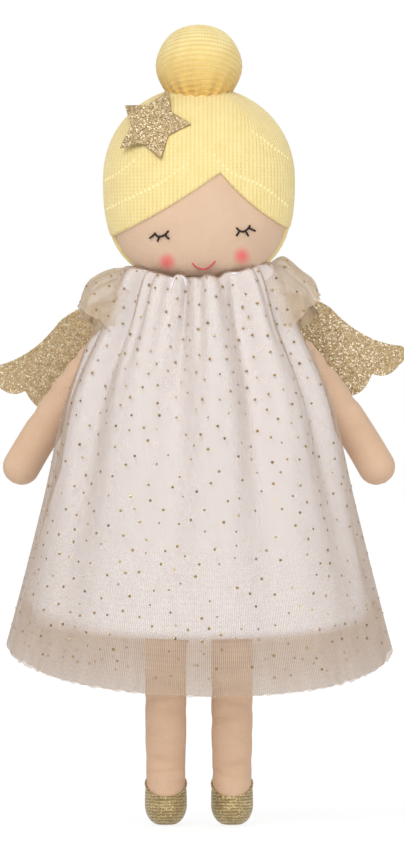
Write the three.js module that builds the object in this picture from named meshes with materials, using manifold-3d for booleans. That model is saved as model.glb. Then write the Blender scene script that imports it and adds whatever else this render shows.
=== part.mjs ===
// A stuffed cloth angel doll about half a metre tall, as separate sewn pieces in millimetres.
// +Z is up, the doll faces -Y, and its own left hand is on +X.
// The origin is the middle of the waist, where a hand or a doll stand's clip holds the limp doll upright.
// Heights are counted from the waist, except on the legs, where they are counted from the sole.
import * as THREE from "three";
import { mergeVertices } from "three/addons/utils/BufferGeometryUtils.js";
import Module from "manifold-3d";

const wasm = await Module();
wasm.setup();

// Cloth and clearances
const COTTON = 1.0;
const KNIT = 1.4;
const DRESS_CLOTH = 0.8;
const GLITTER_FELT = 2.0;
const WING_CLOTH = 2.4;
const THREAD_RADIUS = 0.7;
const SEAM_GAP = 0.3;
const FILL_GAP = 0.7;
const LAID_GAP = 0.7;
const HINGE_GAP = 3;
const HINGE_REACH = 2.2;
const ARM_HINGE_GAP = 2.7;

// Torso
const TORSO_BELOW_WAIST = 66;
const SHOULDER_HEIGHT = 54;
const TORSO_HALF_WIDTH = 42;
const TORSO_HALF_DEPTH = 27;
const SHOULDER_HALF_WIDTH = 38;
const BOTTOM_SEAM_HALF_WIDTH = 39;
const BOTTOM_SEAM_HALF_DEPTH = 2.6;
const NECK_RADIUS = 16;
const NECK_ABOVE_SHOULDER = 26;

// Head
const CHIN_ABOVE_SHOULDER = 16;
const HEAD_HALF_WIDTH = 59;
const HEAD_HALF_DEPTH = 44;
const HEAD_CROWN_HEIGHT = 57;
const HEAD_CHIN_DEPTH = 64;
const CROWN_ROUNDNESS = 2.1;
const CHIN_ROUNDNESS = 2.6;
const CROWN_HOLE_LATITUDE = 86;
const PARTING_X = 13;
const PARTING_ABOVE_CENTRE = 3.5;
const FRINGE_RIGHT_FALL = { slope: 0.74, curl: 0.0024 };
const FRINGE_LEFT_FALL = { slope: 1.17, curl: 0.0088 };
const EYE_SPACING = 52;
const EYE_BELOW_CENTRE = 34;
const EYE_WIDTH = 9.5;
const EYE_SAG = 3.2;
const LASH_LENGTH = 4;
const MOUTH_WIDTH = 14.5;
const MOUTH_SAG = 4.2;
const MOUTH_BELOW_CENTRE = 52;
const FACE_TILT = 4;
const FACE_SHIFT = 2.4;
const SIDE_SEAM_FORWARD = 11;

// Bun and star
const BUN_RADIUS = 27;
const BUN_TOP_HEIGHT = 25;
const BUN_BASE_DEPTH = 30;
const BUN_BASE_RADIUS = 10;
const BUN_CENTRE_ABOVE_CROWN = 15;
const BUN_LEAN_BACK = 26;
const STAR_RADIUS = 25;
const STAR_INNER_RADIUS = 14;
const STAR_TURN = 74;
const STAR_X = -29;
const STAR_ABOVE_CENTRE = 34;
const STAR_FACING = new THREE.Vector3(-0.3, -0.86, 0.41);

// Arms
const ARM_RADIUS = 11.4;
const HAND_SWELL = 1.05;
const ARM_SEAM_HALF_WIDTH = 9;
const ARM_SEAM_HALF_DEPTH = 2.4;
const ARM_REACH_OUT = 78.5;
const ARM_DROP = 102.5;
const ARM_LEAN_BACK = 28;

// Legs and shoes
const LEG_SPACING = 41.5;
const LEG_LENGTH = 192;
const LEG_RADIUS = 13;
const LEG_SEAM_HALF_WIDTH = 14;
const LEG_SEAM_HALF_DEPTH = 1.8;
const LEG_FLATTENED = 26;
const ANKLE_HEIGHT = 36;
const ANKLE_NARROWING = 0.05;
const TOE_REACH = 8;
const TOE_HEIGHT = 8;
const INSTEP_HEIGHT = 34;
const SOLE_ROUND = 10;
const SOLE_SHARE = 0.56;
const SHOE_SIDE_HEIGHT = 26;
const SHOE_SLOPE = 0.55;
const HIP_BAND_HEIGHT = 10;
const HIP_BAND_THICKNESS = 3;

// Dress
const NECKLINE_ABOVE_SHOULDER = 10;
const ELASTIC_THICKNESS = 1.4;
const ELASTIC_GAP = 0.8;
const CASING_HEIGHT = 4;
const NECK_EASE = 0.4;
const OVERLAY_HEM_HALF_WIDTH = 121;
const OVERLAY_HEM_HALF_DEPTH = 82;
const OVERLAY_LENGTH = 221;
const LINING_LENGTH = 201;
const LINING_EASE = 11;
const OVERLAY_HEM_DIP = 30;
const LINING_HEM_DIP = 13;
const FOLD_COUNT = 10;
const FOLD_DEPTH = 4;
const FOLD_START = -65;
const BACK_BULGE = 9;
const HEADING_RISE = 8;
const HEADING_FLARE = 8;
const HEADING_RUFFLE = 2;
const SHOULDER_PUFF = 9;
const SHOULDER_SHRUG = 6;
const ARMHOLE_EASE = 4;
const FRILL_REACH = 35;
const FRILL_PUFF = 7;
const FRILL_WAVE = 1.6;
const FRILL_TURN = 95;
const FRILL_TAPER = 0.6;
const FRILL_INNER = { tuck: 4, spread: 13, centreY: 4, halfDepth: 24, rise: 31, fall: 28 };
const FRILL_OUTER = { draw: 6, centreY: 6, halfDepth: 34, rise: 18, fall: 28 };

// Wings
const WING_SPAN = 125;
const WING_ROOT_X = 6;
const WING_ROOT_TOP = 48;
const WING_ROOT_BOTTOM = 4;
const WING_DEPTH = 64;
const WING_DROOP = { left: 0, right: 6 };

// Places that follow from those sizes
const NECKLINE_Z = SHOULDER_HEIGHT + NECKLINE_ABOVE_SHOULDER;
const NECK_TOP_Z = SHOULDER_HEIGHT + NECK_ABOVE_SHOULDER;
const CHIN_Z = SHOULDER_HEIGHT + CHIN_ABOVE_SHOULDER;
const HEAD_CENTRE_Z = CHIN_Z + HEAD_CHIN_DEPTH;
const CROWN_Z = HEAD_CENTRE_Z + HEAD_CROWN_HEIGHT;
const SIT_AXIS_Z = -TORSO_BELOW_WAIST - HINGE_GAP;
const BAND_TOP_Z = SIT_AXIS_Z + HINGE_REACH;
const LEG_AXIS_Z = BAND_TOP_Z - HIP_BAND_HEIGHT - HINGE_GAP;
const LEG_TOP_Z = LEG_AXIS_Z + HINGE_REACH;
const SOLE_Z = LEG_TOP_Z - LEG_LENGTH;
const SHOULDER_SEAM_Z = SHOULDER_HEIGHT - 7;
const SHOULDER_SEAM_X = SHOULDER_HALF_WIDTH * 0.96;
const SHOULDER_JOINT = new THREE.Vector3(SHOULDER_SEAM_X + ARM_HINGE_GAP, 4, SHOULDER_SEAM_Z);
const SIDES = { left: 1, right: -1 };

const mix = (a, b, share) => a + (b - a) * share;
const smooth = (from, to, x) => THREE.MathUtils.smoothstep(x, from, to);
const radians = THREE.MathUtils.degToRad;
const power = (x, n) => Math.sign(x) * Math.abs(x) ** n;

// A geometry whose faces point out, from points and triangles in either turning sense.
function outwards(points, triangles) {
  let volume = 0;
  for (let i = 0; i < triangles.length; i += 3) {
    const [a, b, c] = [0, 1, 2].map((k) => points[triangles[i + k]]);
    volume += a.dot(new THREE.Vector3().crossVectors(b, c));
  }
  const index = volume < 0 ? [...triangles].reverse() : triangles;
  const geometry = new THREE.BufferGeometry();
  return geometry.setFromPoints(points).setIndex(index);
}

// The two triangles of a four-sided cell.
const cell = (a, b, c, d) => [a, b, c, a, c, d];

// A solid skinned over rings of points. Its ends are closed by a fan, or the last ring joins the first.
function ringSolid(rings, joined = false) {
  const around = rings[0].length;
  const points = rings.flat();
  const triangles = [];
  const spans = joined ? rings.length : rings.length - 1;
  for (let r = 0; r < spans; r++) {
    const next = (r + 1) % rings.length;
    for (let i = 0; i < around; i++) {
      const j = (i + 1) % around;
      triangles.push(...cell(r * around + i, r * around + j, next * around + j, next * around + i));
    }
  }
  if (!joined) {
    for (const [ring, flip] of [[0, true], [rings.length - 1, false]]) {
      const centre = points.length;
      points.push(rings[ring].reduce((sum, p) => sum.add(p), new THREE.Vector3()).divideScalar(around));
      for (let i = 0; i < around; i++) {
        const [a, b] = [ring * around + i, ring * around + ((i + 1) % around)];
        triangles.push(...(flip ? [b, a, centre] : [a, b, centre]));
      }
    }
  }
  return outwards(points, triangles);
}

// The outward side of a surface at (u, v), from its slopes.
function surfaceNormal(surface, u, v) {
  const step = 1e-3;
  const alongU = surface(u + step, v).sub(surface(u - step, v));
  const alongV = surface(u, v + step).sub(surface(u, v - step));
  return alongU.cross(alongV).normalize();
}

// Shares from 0 to 1 in even steps.
const evenly = (steps) => Array.from({ length: steps + 1 }, (_, i) => i / steps);

// A sheet of cloth of even thickness on a surface, with u round the piece and rows of v along it.
function thickSheet(surface, uSteps, rows, thickness, wrapped = false) {
  const vSteps = rows.length - 1;
  const columns = wrapped ? uSteps : uSteps + 1;
  const points = [];
  for (const side of [0.5, -0.5]) {
    for (const v of rows) {
      for (let c = 0; c < columns; c++) {
        const u = c / uSteps;
        points.push(surface(u, v).addScaledVector(surfaceNormal(surface, u, v), side * thickness));
      }
    }
  }
  const back = points.length / 2;
  const at = (r, c) => r * columns + (c % columns);
  const triangles = [];
  for (let c = 0; c < uSteps; c++) {
    for (let r = 0; r < vSteps; r++) {
      const corners = [at(r, c), at(r, c + 1), at(r + 1, c + 1), at(r + 1, c)];
      triangles.push(...cell(...corners));
      triangles.push(...cell(...corners.map((i) => i + back).reverse()));
    }
    const [top, topNext, low, lowNext] = [at(0, c), at(0, c + 1), at(vSteps, c), at(vSteps, c + 1)];
    triangles.push(...cell(topNext, top, top + back, topNext + back));
    triangles.push(...cell(low, lowNext, lowNext + back, low + back));
  }
  for (let r = 0; !wrapped && r < vSteps; r++) {
    const [first, firstNext, last, lastNext] = [at(r, 0), at(r + 1, 0), at(r, uSteps), at(r + 1, uSteps)];
    triangles.push(...cell(first, firstNext, firstNext + back, first + back));
    triangles.push(...cell(lastNext, last, last + back, lastNext + back));
  }
  return outwards(points, triangles);
}

// Joining and cutting of closed geometries.
function toSolid(geometry) {
  const bare = geometry.clone();
  bare.deleteAttribute("normal");
  bare.deleteAttribute("uv");
  const merged = mergeVertices(bare, 1e-4);
  return new wasm.Manifold(
    new wasm.Mesh({
      numProp: 3,
      vertProperties: merged.attributes.position.array,
      triVerts: new Uint32Array(merged.index.array),
    }),
  );
}

function fromSolid(solid) {
  const mesh = solid.getMesh();
  const geometry = new THREE.BufferGeometry();
  geometry.setAttribute("position", new THREE.BufferAttribute(mesh.vertProperties, 3));
  return geometry.setIndex(new THREE.BufferAttribute(mesh.triVerts, 1));
}

const cut = (geometry, ...tools) =>
  fromSolid(tools.reduce((left, tool) => left.subtract(toSolid(tool)), toSolid(geometry)));
const join = (...pieces) => fromSolid(pieces.map(toSolid).reduce((all, piece) => all.add(piece)));

// An ellipse of points at one height, whose front and back depths may differ.
function ellipse(count, halfWidth, front, back, z, centreX = 0) {
  return Array.from({ length: count }, (_, i) => {
    const angle = (2 * Math.PI * i) / count;
    const depth = Math.sin(angle) < 0 ? front : back;
    return new THREE.Vector3(centreX + halfWidth * Math.cos(angle), depth * Math.sin(angle), z);
  });
}

// Torso: a stuffed bag that tapers to a flat seam below and to a round neck above.
const chestHalfWidth = mix(TORSO_HALF_WIDTH, SHOULDER_HALF_WIDTH, 0.6);
const torsoProfile = new THREE.CatmullRomCurve3([
  new THREE.Vector3(BOTTOM_SEAM_HALF_WIDTH, BOTTOM_SEAM_HALF_DEPTH, -TORSO_BELOW_WAIST),
  new THREE.Vector3(TORSO_HALF_WIDTH, TORSO_HALF_DEPTH * 0.8, -TORSO_BELOW_WAIST * 0.6),
  new THREE.Vector3(TORSO_HALF_WIDTH, TORSO_HALF_DEPTH, 0),
  new THREE.Vector3(chestHalfWidth, TORSO_HALF_DEPTH * 0.9, SHOULDER_HEIGHT * 0.6),
  new THREE.Vector3(SHOULDER_SEAM_X, TORSO_HALF_DEPTH * 0.76, SHOULDER_SEAM_Z),
  new THREE.Vector3(NECK_RADIUS + 3, NECK_RADIUS + 1, SHOULDER_HEIGHT + 2),
  new THREE.Vector3(NECK_RADIUS, NECK_RADIUS, NECKLINE_Z - 3),
  new THREE.Vector3(NECK_RADIUS, NECK_RADIUS, NECK_TOP_Z),
]);

function torsoSurface(u, v) {
  const { x, y, z } = torsoProfile.getPoint(THREE.MathUtils.clamp(v, 0, 1));
  const angle = 2 * Math.PI * u;
  return new THREE.Vector3(x * Math.cos(angle), y * Math.sin(angle), z);
}

// Rings of a closed-round surface, pushed out along its normal by a lift.
function surfaceRings(surface, lift, count, rows) {
  return rows.map((v) =>
    Array.from({ length: count }, (_, i) => {
      const u = i / count;
      return surface(u, v).addScaledVector(surfaceNormal(surface, u, v), lift);
    }),
  );
}

// The same rings with the first one raised by the thickness of the cloth below it.
function raisedRings(surface, inset, count, rows) {
  const rings = surfaceRings(surface, -inset, count, rows);
  rings[0].forEach((p) => p.setZ(p.z + inset));
  return rings;
}

function torsoCover() {
  const outer = surfaceRings(torsoSurface, 0, 20, evenly(12));
  return ringSolid([...raisedRings(torsoSurface, COTTON, 20, evenly(12)), ...outer.reverse()]);
}

const torsoFilling = () => ringSolid(raisedRings(torsoSurface, COTTON + FILL_GAP, 20, evenly(12)));

// Head: round at the crown and squarer at the chin, in longitude from the doll's left round the front.
function headSurface(longitude, latitude, lift = 0) {
  const upper = latitude >= 0;
  const n = 2 / (upper ? CROWN_ROUNDNESS : CHIN_ROUNDNESS);
  const flank = power(Math.cos(latitude), n);
  const point = new THREE.Vector3(
    HEAD_HALF_WIDTH * flank * Math.cos(longitude),
    -HEAD_HALF_DEPTH * flank * Math.sin(longitude),
    HEAD_CENTRE_Z + (upper ? HEAD_CROWN_HEIGHT : HEAD_CHIN_DEPTH) * power(Math.sin(latitude), n),
  );
  if (lift === 0) return point;
  return point.addScaledVector(headNormal(longitude, latitude), lift);
}

function headNormal(longitude, latitude) {
  const clear = radians(2);
  const bounded = THREE.MathUtils.clamp(latitude, -Math.PI / 2 + clear, Math.PI / 2 - clear);
  const off = Math.abs(bounded) < clear ? clear : bounded;
  return surfaceNormal((u, v) => headSurface(u, v), longitude, off).negate();
}

// The latitude on the head, at one longitude, where a falling measure turns from negative to positive.
function latitudeWhere(measure) {
  let [low, high] = [-Math.PI / 2, Math.PI / 2];
  for (let i = 0; i < 40; i++) {
    const middle = (low + high) / 2;
    if (measure(middle) < 0) low = middle;
    else high = middle;
  }
  return low;
}

// The head's front surface straight behind a point of the front view.
function onFace(x, z, lift) {
  const latitude = latitudeWhere((lat) => headSurface(0, lat).z - z);
  const halfWidth = headSurface(0, latitude).x;
  return headSurface(Math.acos(THREE.MathUtils.clamp(x / halfWidth, -1, 1)), latitude, lift);
}

const neckHoleLatitude = latitudeWhere(
  (lat) => headSurface(Math.PI / 2, lat).y * -1 - NECK_RADIUS - COTTON - SEAM_GAP,
);
const seamMargin = SEAM_GAP / 2 / HEAD_HALF_DEPTH;

// The side seams run a little in front of the head's widest line, so the hair shows round the jaw.
const leftSeam = radians(SIDE_SEAM_FORWARD);
const rightSeam = Math.PI - leftSeam;

function headPanel(fromSeam, toSeam, columns) {
  const crownHole = radians(CROWN_HOLE_LATITUDE);
  const surface = (u, v) =>
    headSurface(
      mix(fromSeam + seamMargin, toSeam - seamMargin, u),
      mix(neckHoleLatitude, crownHole, v),
      -COTTON / 2,
    );
  return thickSheet(surface, columns, evenly(10), COTTON);
}

// The filling leaves a round socket for the neck.
function headFilling() {
  const lift = -COTTON - FILL_GAP;
  const [count, steps] = [28, 10];
  const rings = Array.from({ length: steps + 1 }, (_, r) => {
    const latitude = mix(neckHoleLatitude, radians(CROWN_HOLE_LATITUDE), r / steps);
    return Array.from({ length: count }, (_, i) => headSurface((2 * Math.PI * i) / count, latitude, lift));
  });
  const socketTop = NECK_TOP_Z + FILL_GAP;
  const socketHeight = socketTop - CHIN_Z + HEAD_CHIN_DEPTH;
  const socketRadius = NECK_RADIUS + 2 * FILL_GAP;
  const socket = new THREE.CylinderGeometry(socketRadius, socketRadius, socketHeight, 24);
  socket.rotateX(Math.PI / 2).translate(0, 0, socketTop - socketHeight / 2);
  return cut(ringSolid(rings), socket);
}

// The fringe: a knitted panel laid over the top of the face, parted in a V.
function hairlineZ(x) {
  const away = Math.abs(x - PARTING_X);
  const { slope, curl } = x < PARTING_X ? FRINGE_RIGHT_FALL : FRINGE_LEFT_FALL;
  return HEAD_CENTRE_Z + PARTING_ABOVE_CENTRE - slope * away + curl * away * away;
}

function fringe() {
  const side = radians(4);
  const surface = (u, v) => {
    const longitude = mix(side, Math.PI - side, u);
    const hairline = latitudeWhere((lat) => {
      const { x, z } = headSurface(longitude, lat);
      return z - hairlineZ(x);
    });
    return headSurface(longitude, mix(hairline, radians(84), v), LAID_GAP + KNIT / 2);
  };
  return thickSheet(surface, 18, evenly(8), KNIT);
}

// A round thread laid along points of the front view, just off the face.
function faceThread(points) {
  const route = points.map(([x, z]) => onFace(x, z, SEAM_GAP + THREAD_RADIUS));
  const section = new THREE.Shape().absarc(0, 0, THREAD_RADIUS, 0, 2 * Math.PI);
  const extrudePath = new THREE.CatmullRomCurve3(route);
  return new THREE.ExtrudeGeometry(section, { steps: points.length + 1, curveSegments: 3, extrudePath });
}

// A point of the face drawn at (x, z) from the middle of its features, turned by the face's tilt.
function facePlace(x, z) {
  const tilt = radians(FACE_TILT);
  const eyeLine = HEAD_CENTRE_Z - EYE_BELOW_CENTRE;
  const across = x * Math.cos(tilt) - z * Math.sin(tilt);
  return [FACE_SHIFT + across, eyeLine + x * Math.sin(tilt) + z * Math.cos(tilt)];
}

// A closed eye: a hanging arc of thread with three lashes.
function closedEye(side) {
  const arc = (share) => [
    side * (EYE_SPACING / 2) + (share * EYE_WIDTH) / 2,
    EYE_SAG * (share * share - 1),
  ];
  const lid = [-1, -0.5, 0, 0.5, 1].map((share) => facePlace(...arc(share)));
  const lashes = [-0.75, 0, 0.75].map((share) => {
    const [x, z] = arc(share);
    const away = radians(-90 + share * 62);
    const tip = [x + LASH_LENGTH * Math.cos(away), z + LASH_LENGTH * Math.sin(away)];
    return [facePlace(x, z), facePlace((x + tip[0]) / 2, (z + tip[1]) / 2), facePlace(...tip)];
  });
  return join(faceThread(lid), ...lashes.map(faceThread));
}

function mouth() {
  const below = MOUTH_BELOW_CENTRE - EYE_BELOW_CENTRE;
  const smile = [-1, -0.6, -0.2, 0.2, 0.6, 1].map((share) =>
    facePlace((share * MOUTH_WIDTH) / 2, MOUTH_SAG * share * share - below - MOUTH_SAG / 2),
  );
  return faceThread(smile);
}

// Bun: a knitted ball gathered to a narrow base, leaning back on the crown and cut to sit on it.
const bunProfile = new THREE.SplineCurve([
  new THREE.Vector2(BUN_BASE_RADIUS, -BUN_BASE_DEPTH),
  new THREE.Vector2(BUN_RADIUS * 0.74, -BUN_BASE_DEPTH * 0.6),
  new THREE.Vector2(BUN_RADIUS, 0),
  new THREE.Vector2(BUN_RADIUS * 0.72, BUN_TOP_HEIGHT * 0.72),
  new THREE.Vector2(4, BUN_TOP_HEIGHT),
]);

function bunSurface(u, v) {
  const { x, y } = bunProfile.getPoint(THREE.MathUtils.clamp(v, 0, 1));
  const angle = 2 * Math.PI * u;
  return new THREE.Vector3(x * Math.cos(angle), x * Math.sin(angle), y);
}

// The head with its hair, grown by a gap, as the tool that seats what is sewn onto it.
function headTool() {
  const [count, steps] = [36, 20];
  const lift = LAID_GAP + KNIT + 2 * SEAM_GAP;
  const rings = Array.from({ length: steps }, (_, r) => {
    const latitude = mix(radians(-86), radians(87), r / (steps - 1));
    return Array.from({ length: count }, (_, i) => headSurface((2 * Math.PI * i) / count, latitude, lift));
  });
  return ringSolid(rings);
}

function seatBun(geometry) {
  geometry.rotateX(-radians(BUN_LEAN_BACK)).translate(0, 0, CROWN_Z + BUN_CENTRE_ABOVE_CROWN);
  return cut(geometry, headTool());
}

function bunCover() {
  const inner = surfaceRings(bunSurface, -KNIT, 20, evenly(8));
  return seatBun(ringSolid([...inner.reverse(), ...surfaceRings(bunSurface, 0, 20, evenly(8))]));
}

const bunFilling = () => seatBun(ringSolid(surfaceRings(bunSurface, -KNIT - FILL_GAP, 20, evenly(8))));

// Star: stiff glitter felt, tangent to the fringe where it is sewn on.
function star() {
  const outline = Array.from({ length: 10 }, (_, i) => {
    const radius = i % 2 ? STAR_INNER_RADIUS : STAR_RADIUS;
    const angle = radians(STAR_TURN + 36 * i);
    return new THREE.Vector2(radius * Math.cos(angle), radius * Math.sin(angle));
  });
  const edge = GLITTER_FELT / 4;
  const geometry = new THREE.ExtrudeGeometry(new THREE.Shape(outline), {
    depth: GLITTER_FELT - 2 * edge,
    bevelThickness: edge,
    bevelSize: edge,
    bevelOffset: -edge,
    bevelSegments: 1,
  });
  const facing = STAR_FACING.clone().normalize();
  let reach = 0;
  for (let lat = 0; lat < 90; lat += 3) {
    for (let lon = 0; lon < 180; lon += 3) {
      const skin = headSurface(radians(lon), radians(lat), LAID_GAP + KNIT + SEAM_GAP);
      reach = Math.max(reach, skin.dot(facing));
    }
  }
  const centre = new THREE.Vector3(STAR_X, 0, HEAD_CENTRE_Z + STAR_ABOVE_CENTRE);
  centre.y = (reach + edge - centre.dot(facing)) / facing.y;
  const across = new THREE.Vector3(0, 0, 1).cross(facing).normalize();
  const up = facing.clone().cross(across);
  return geometry.applyMatrix4(new THREE.Matrix4().makeBasis(across, up, facing).setPosition(centre));
}

// Arm: open and flat at the shoulder seam, round at the hand.
const armLine = new THREE.QuadraticBezierCurve3(
  SHOULDER_JOINT,
  SHOULDER_JOINT.clone().add(new THREE.Vector3(ARM_REACH_OUT * 0.5, ARM_LEAN_BACK, -ARM_DROP * 0.3)),
  SHOULDER_JOINT.clone().add(new THREE.Vector3(ARM_REACH_OUT, ARM_LEAN_BACK, -ARM_DROP)),
);
const armLength = armLine.getLength();

function armRing(distance, end, inset, count) {
  const share = distance / armLength;
  const centre = armLine.getPointAt(share);
  const along = armLine.getTangentAt(share);
  const wide = new THREE.Vector3(0, 1, 0).addScaledVector(along, -along.y).normalize();
  const thin = along.clone().cross(wide);
  const full = ARM_RADIUS * mix(0.94, HAND_SWELL, share) - inset;
  const opened = Math.sqrt(smooth(-0.02, 0.26, share));
  const toEnd = Math.min((end - distance) / full, 1);
  const round = Math.sqrt(Math.max(1 - (1 - toEnd) ** 2, 0.001));
  const halfWidth = mix(ARM_SEAM_HALF_WIDTH - inset, full, opened) * round;
  const halfDepth = mix(ARM_SEAM_HALF_DEPTH - inset, full, opened) * round;
  return Array.from({ length: count }, (_, i) => {
    const angle = (2 * Math.PI * i) / count;
    return centre
      .clone()
      .addScaledVector(wide, halfWidth * Math.cos(angle))
      .addScaledVector(thin, halfDepth * Math.sin(angle));
  });
}

function armRings(inset, count, from) {
  const end = armLength - inset;
  const stations = [0, 0.05, 0.12, 0.22, 0.36, 0.52, 0.68, 0.82, 0.91, 0.965, 1];
  return stations.map((s) => armRing(mix(from, end - 0.1, s), end, inset, count));
}

const armCover = () => ringSolid([...armRings(COTTON, 12, 0).reverse(), ...armRings(0, 12, 0)]);
const armFilling = () => ringSolid(armRings(COTTON + FILL_GAP, 12, 0).slice(1));

// Leg: flat at the hip seam, round below it, with a foot that reaches forward to the toe.
function legSection(height) {
  const flat = smooth(LEG_LENGTH - LEG_FLATTENED, LEG_LENGTH, height);
  const ankle = 1 - ANKLE_NARROWING * Math.exp(-(((height - ANKLE_HEIGHT) / LEG_RADIUS) ** 2));
  const heel = Math.min(height / SOLE_ROUND, 1);
  const sole = mix(SOLE_SHARE, 1, Math.sqrt(1 - (1 - heel) ** 2));
  const toe = TOE_REACH * (1 - smooth(TOE_HEIGHT, INSTEP_HEIGHT, height)) * sole;
  const halfWidth = mix(LEG_RADIUS, LEG_SEAM_HALF_WIDTH, flat) * ankle * sole;
  const depth = mix(LEG_RADIUS, LEG_SEAM_HALF_DEPTH, flat) * ankle * sole;
  return { halfWidth, front: depth + toe, back: depth };
}

// A ring round the leg at a height that slopes down towards the toe.
function legRing(height, slope, inset, count, raise = 0) {
  const flat = legSection(height);
  return ellipse(count, flat.halfWidth, flat.front, flat.back, 0).map((p, i) => {
    const sloped = height + slope * p.y;
    const { halfWidth, front, back } = legSection(sloped);
    const angle = (2 * Math.PI * i) / count;
    const depth = Math.sin(angle) < 0 ? front : back;
    return new THREE.Vector3(
      (halfWidth - inset) * Math.cos(angle),
      (depth - inset) * Math.sin(angle),
      SOLE_Z + sloped + raise,
    );
  });
}

// Heights and slopes of the rings of the shoe and of the leg above it.
const shoeTop = [SHOE_SIDE_HEIGHT, SHOE_SLOPE];
const shoeRings = [
  [0, 0],
  [SOLE_ROUND * 0.14, 0],
  [SOLE_ROUND * 0.4, 0],
  [SOLE_ROUND, 0.12],
  [SHOE_SIDE_HEIGHT * 0.66, 0.34],
  shoeTop,
];
const legRings = [
  shoeTop,
  [ANKLE_HEIGHT, 0.25],
  [LEG_LENGTH * 0.27, 0],
  [LEG_LENGTH * 0.44, 0],
  [LEG_LENGTH * 0.65, 0],
  ...[1, 0.58, 0.23, 0].map((share) => [LEG_LENGTH - LEG_FLATTENED * share, 0]),
];

// A wall of rings at an inset, with its lowest ring raised.
const legWall = (rings, inset, raise) =>
  rings.map(([height, slope], i) => legRing(height, slope, inset, 14, i ? 0 : raise));

const legCover = () =>
  ringSolid([...legWall(legRings, 0, SEAM_GAP), ...legWall(legRings, COTTON, SEAM_GAP).reverse()], true);

const shoe = () =>
  ringSolid([...legWall(shoeRings, COTTON, COTTON), ...legWall(shoeRings, 0, 0).reverse()]);

function legFilling() {
  const inset = COTTON + FILL_GAP;
  return ringSolid(legWall([...shoeRings.slice(0, 5), ...legRings.slice(0, -2)], inset, inset));
}

// The flat strip of cloth at the hips into which both legs are sewn.
function hipBand() {
  const halfWidth = LEG_SPACING / 2 + LEG_SEAM_HALF_WIDTH;
  const [low, high] = [BAND_TOP_Z - HIP_BAND_HEIGHT, BAND_TOP_Z];
  const outline = new THREE.Shape();
  outline.moveTo(-halfWidth, low).lineTo(halfWidth, low).lineTo(halfWidth, high).lineTo(-halfWidth, high);
  const strip = new THREE.ExtrudeGeometry(outline, { depth: HIP_BAND_THICKNESS, bevelEnabled: false });
  return strip.rotateX(Math.PI / 2).translate(0, HIP_BAND_THICKNESS / 2, 0);
}

// Dress: a tube that pinches in at the elastic and flares to the hem, in soft folds.
const liningNeck = NECK_RADIUS + NECK_EASE + DRESS_CLOTH / 2;
const casing = DRESS_CLOTH + ELASTIC_THICKNESS + 2 * ELASTIC_GAP;
const overlayNeck = liningNeck + casing;
const hemZ = NECKLINE_Z - OVERLAY_LENGTH;

// Each row is the half width, the depth and the height. The second and third are the elastic's casing.
const flare = (share) => mix(SHOULDER_HALF_WIDTH, OVERLAY_HEM_HALF_WIDTH, share);
const swell = (share) => mix(TORSO_HALF_DEPTH, OVERLAY_HEM_HALF_DEPTH, share);
const dressProfile = new THREE.CatmullRomCurve3([
  new THREE.Vector3(overlayNeck + HEADING_FLARE, overlayNeck + HEADING_FLARE, NECKLINE_Z + HEADING_RISE),
  new THREE.Vector3(overlayNeck, overlayNeck, NECKLINE_Z + CASING_HEIGHT / 2),
  new THREE.Vector3(overlayNeck, overlayNeck, NECKLINE_Z - CASING_HEIGHT / 2),
  new THREE.Vector3(SHOULDER_HALF_WIDTH + 6, TORSO_HALF_DEPTH + 6.5, NECKLINE_Z + SHOULDER_PUFF),
  new THREE.Vector3(flare(0.28), swell(0.27), SHOULDER_HEIGHT * 0.74),
  new THREE.Vector3(flare(0.5), swell(0.45), 0),
  new THREE.Vector3(flare(0.7), swell(0.68), hemZ * 0.4),
  new THREE.Vector3(OVERLAY_HEM_HALF_WIDTH, OVERLAY_HEM_HALF_DEPTH, hemZ),
]);
const [casingTop, casingFoot, shoulderRow] = [1 / 7, 2 / 7, 3 / 7];
const dressRows = [0, casingTop, casingFoot, 0.36, 0.43, 0.5, 0.58, 0.68, 0.79, 0.9, 1];

function dressFolds(u, v) {
  const angle = 2 * Math.PI * u;
  const { x: halfWidth, y: depth, z } = dressProfile.getPoint(THREE.MathUtils.clamp(v, 0, 1));
  const ruffle = HEADING_RUFFLE * Math.max(1 - v / casingTop, 0);
  const gather = ruffle + FOLD_DEPTH * smooth(casingFoot, 0.55, v) * (1 - 0.4 * v);
  const fold = -gather * Math.cos(FOLD_COUNT * angle + 0.7 * Math.sin(2 * angle) + radians(FOLD_START));
  const bulge = Math.sin(angle) > 0 ? BACK_BULGE * Math.exp(-(((v - 0.5) / 0.12) ** 2)) : 0;
  const [across, out] = [halfWidth + fold, depth + fold + bulge];
  const shrug = SHOULDER_SHRUG * Math.cos(angle) ** 2 * Math.exp(-(((v - shoulderRow) / 0.07) ** 2));
  return new THREE.Vector3(across * Math.cos(angle), out * Math.sin(angle), z + shrug);
}

// The hem hangs lower at the front and back than at the sides.
function hemDrop(u, v, dip) {
  const easy = 0.1;
  const away = Math.hypot(Math.sin(2 * Math.PI * u), easy) - easy;
  return (dip * smooth(0.72, 1, v) * away) / (Math.hypot(1, easy) - easy);
}

function overlaySurface(u, v) {
  const point = dressFolds(u, v);
  return point.setZ(point.z - hemDrop(u, v, OVERLAY_HEM_DIP));
}

// The lining hangs inside the overlay, follows its folds and ends higher.
let liningShare = 1;
while (dressProfile.getPoint(liningShare).z < NECKLINE_Z - LINING_LENGTH) liningShare -= 0.002;
function liningSurface(u, v) {
  const below = Math.max(v - casingFoot, 0) / (1 - casingFoot);
  const above = Math.max(casingTop - v, 0) / casingTop;
  const hem = mix(casingFoot, liningShare, below);
  const level = v < casingTop ? mix(v, 0.3 * casingTop, above) : v < casingFoot ? v : hem;
  const inside = mix(mix(casing, LINING_EASE, below ** 3), 0.6 * casing, above);
  const point = dressFolds(u, level).addScaledVector(surfaceNormal(dressFolds, u, level), inside);
  return point.setZ(point.z - hemDrop(u, v, LINING_HEM_DIP));
}

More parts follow.
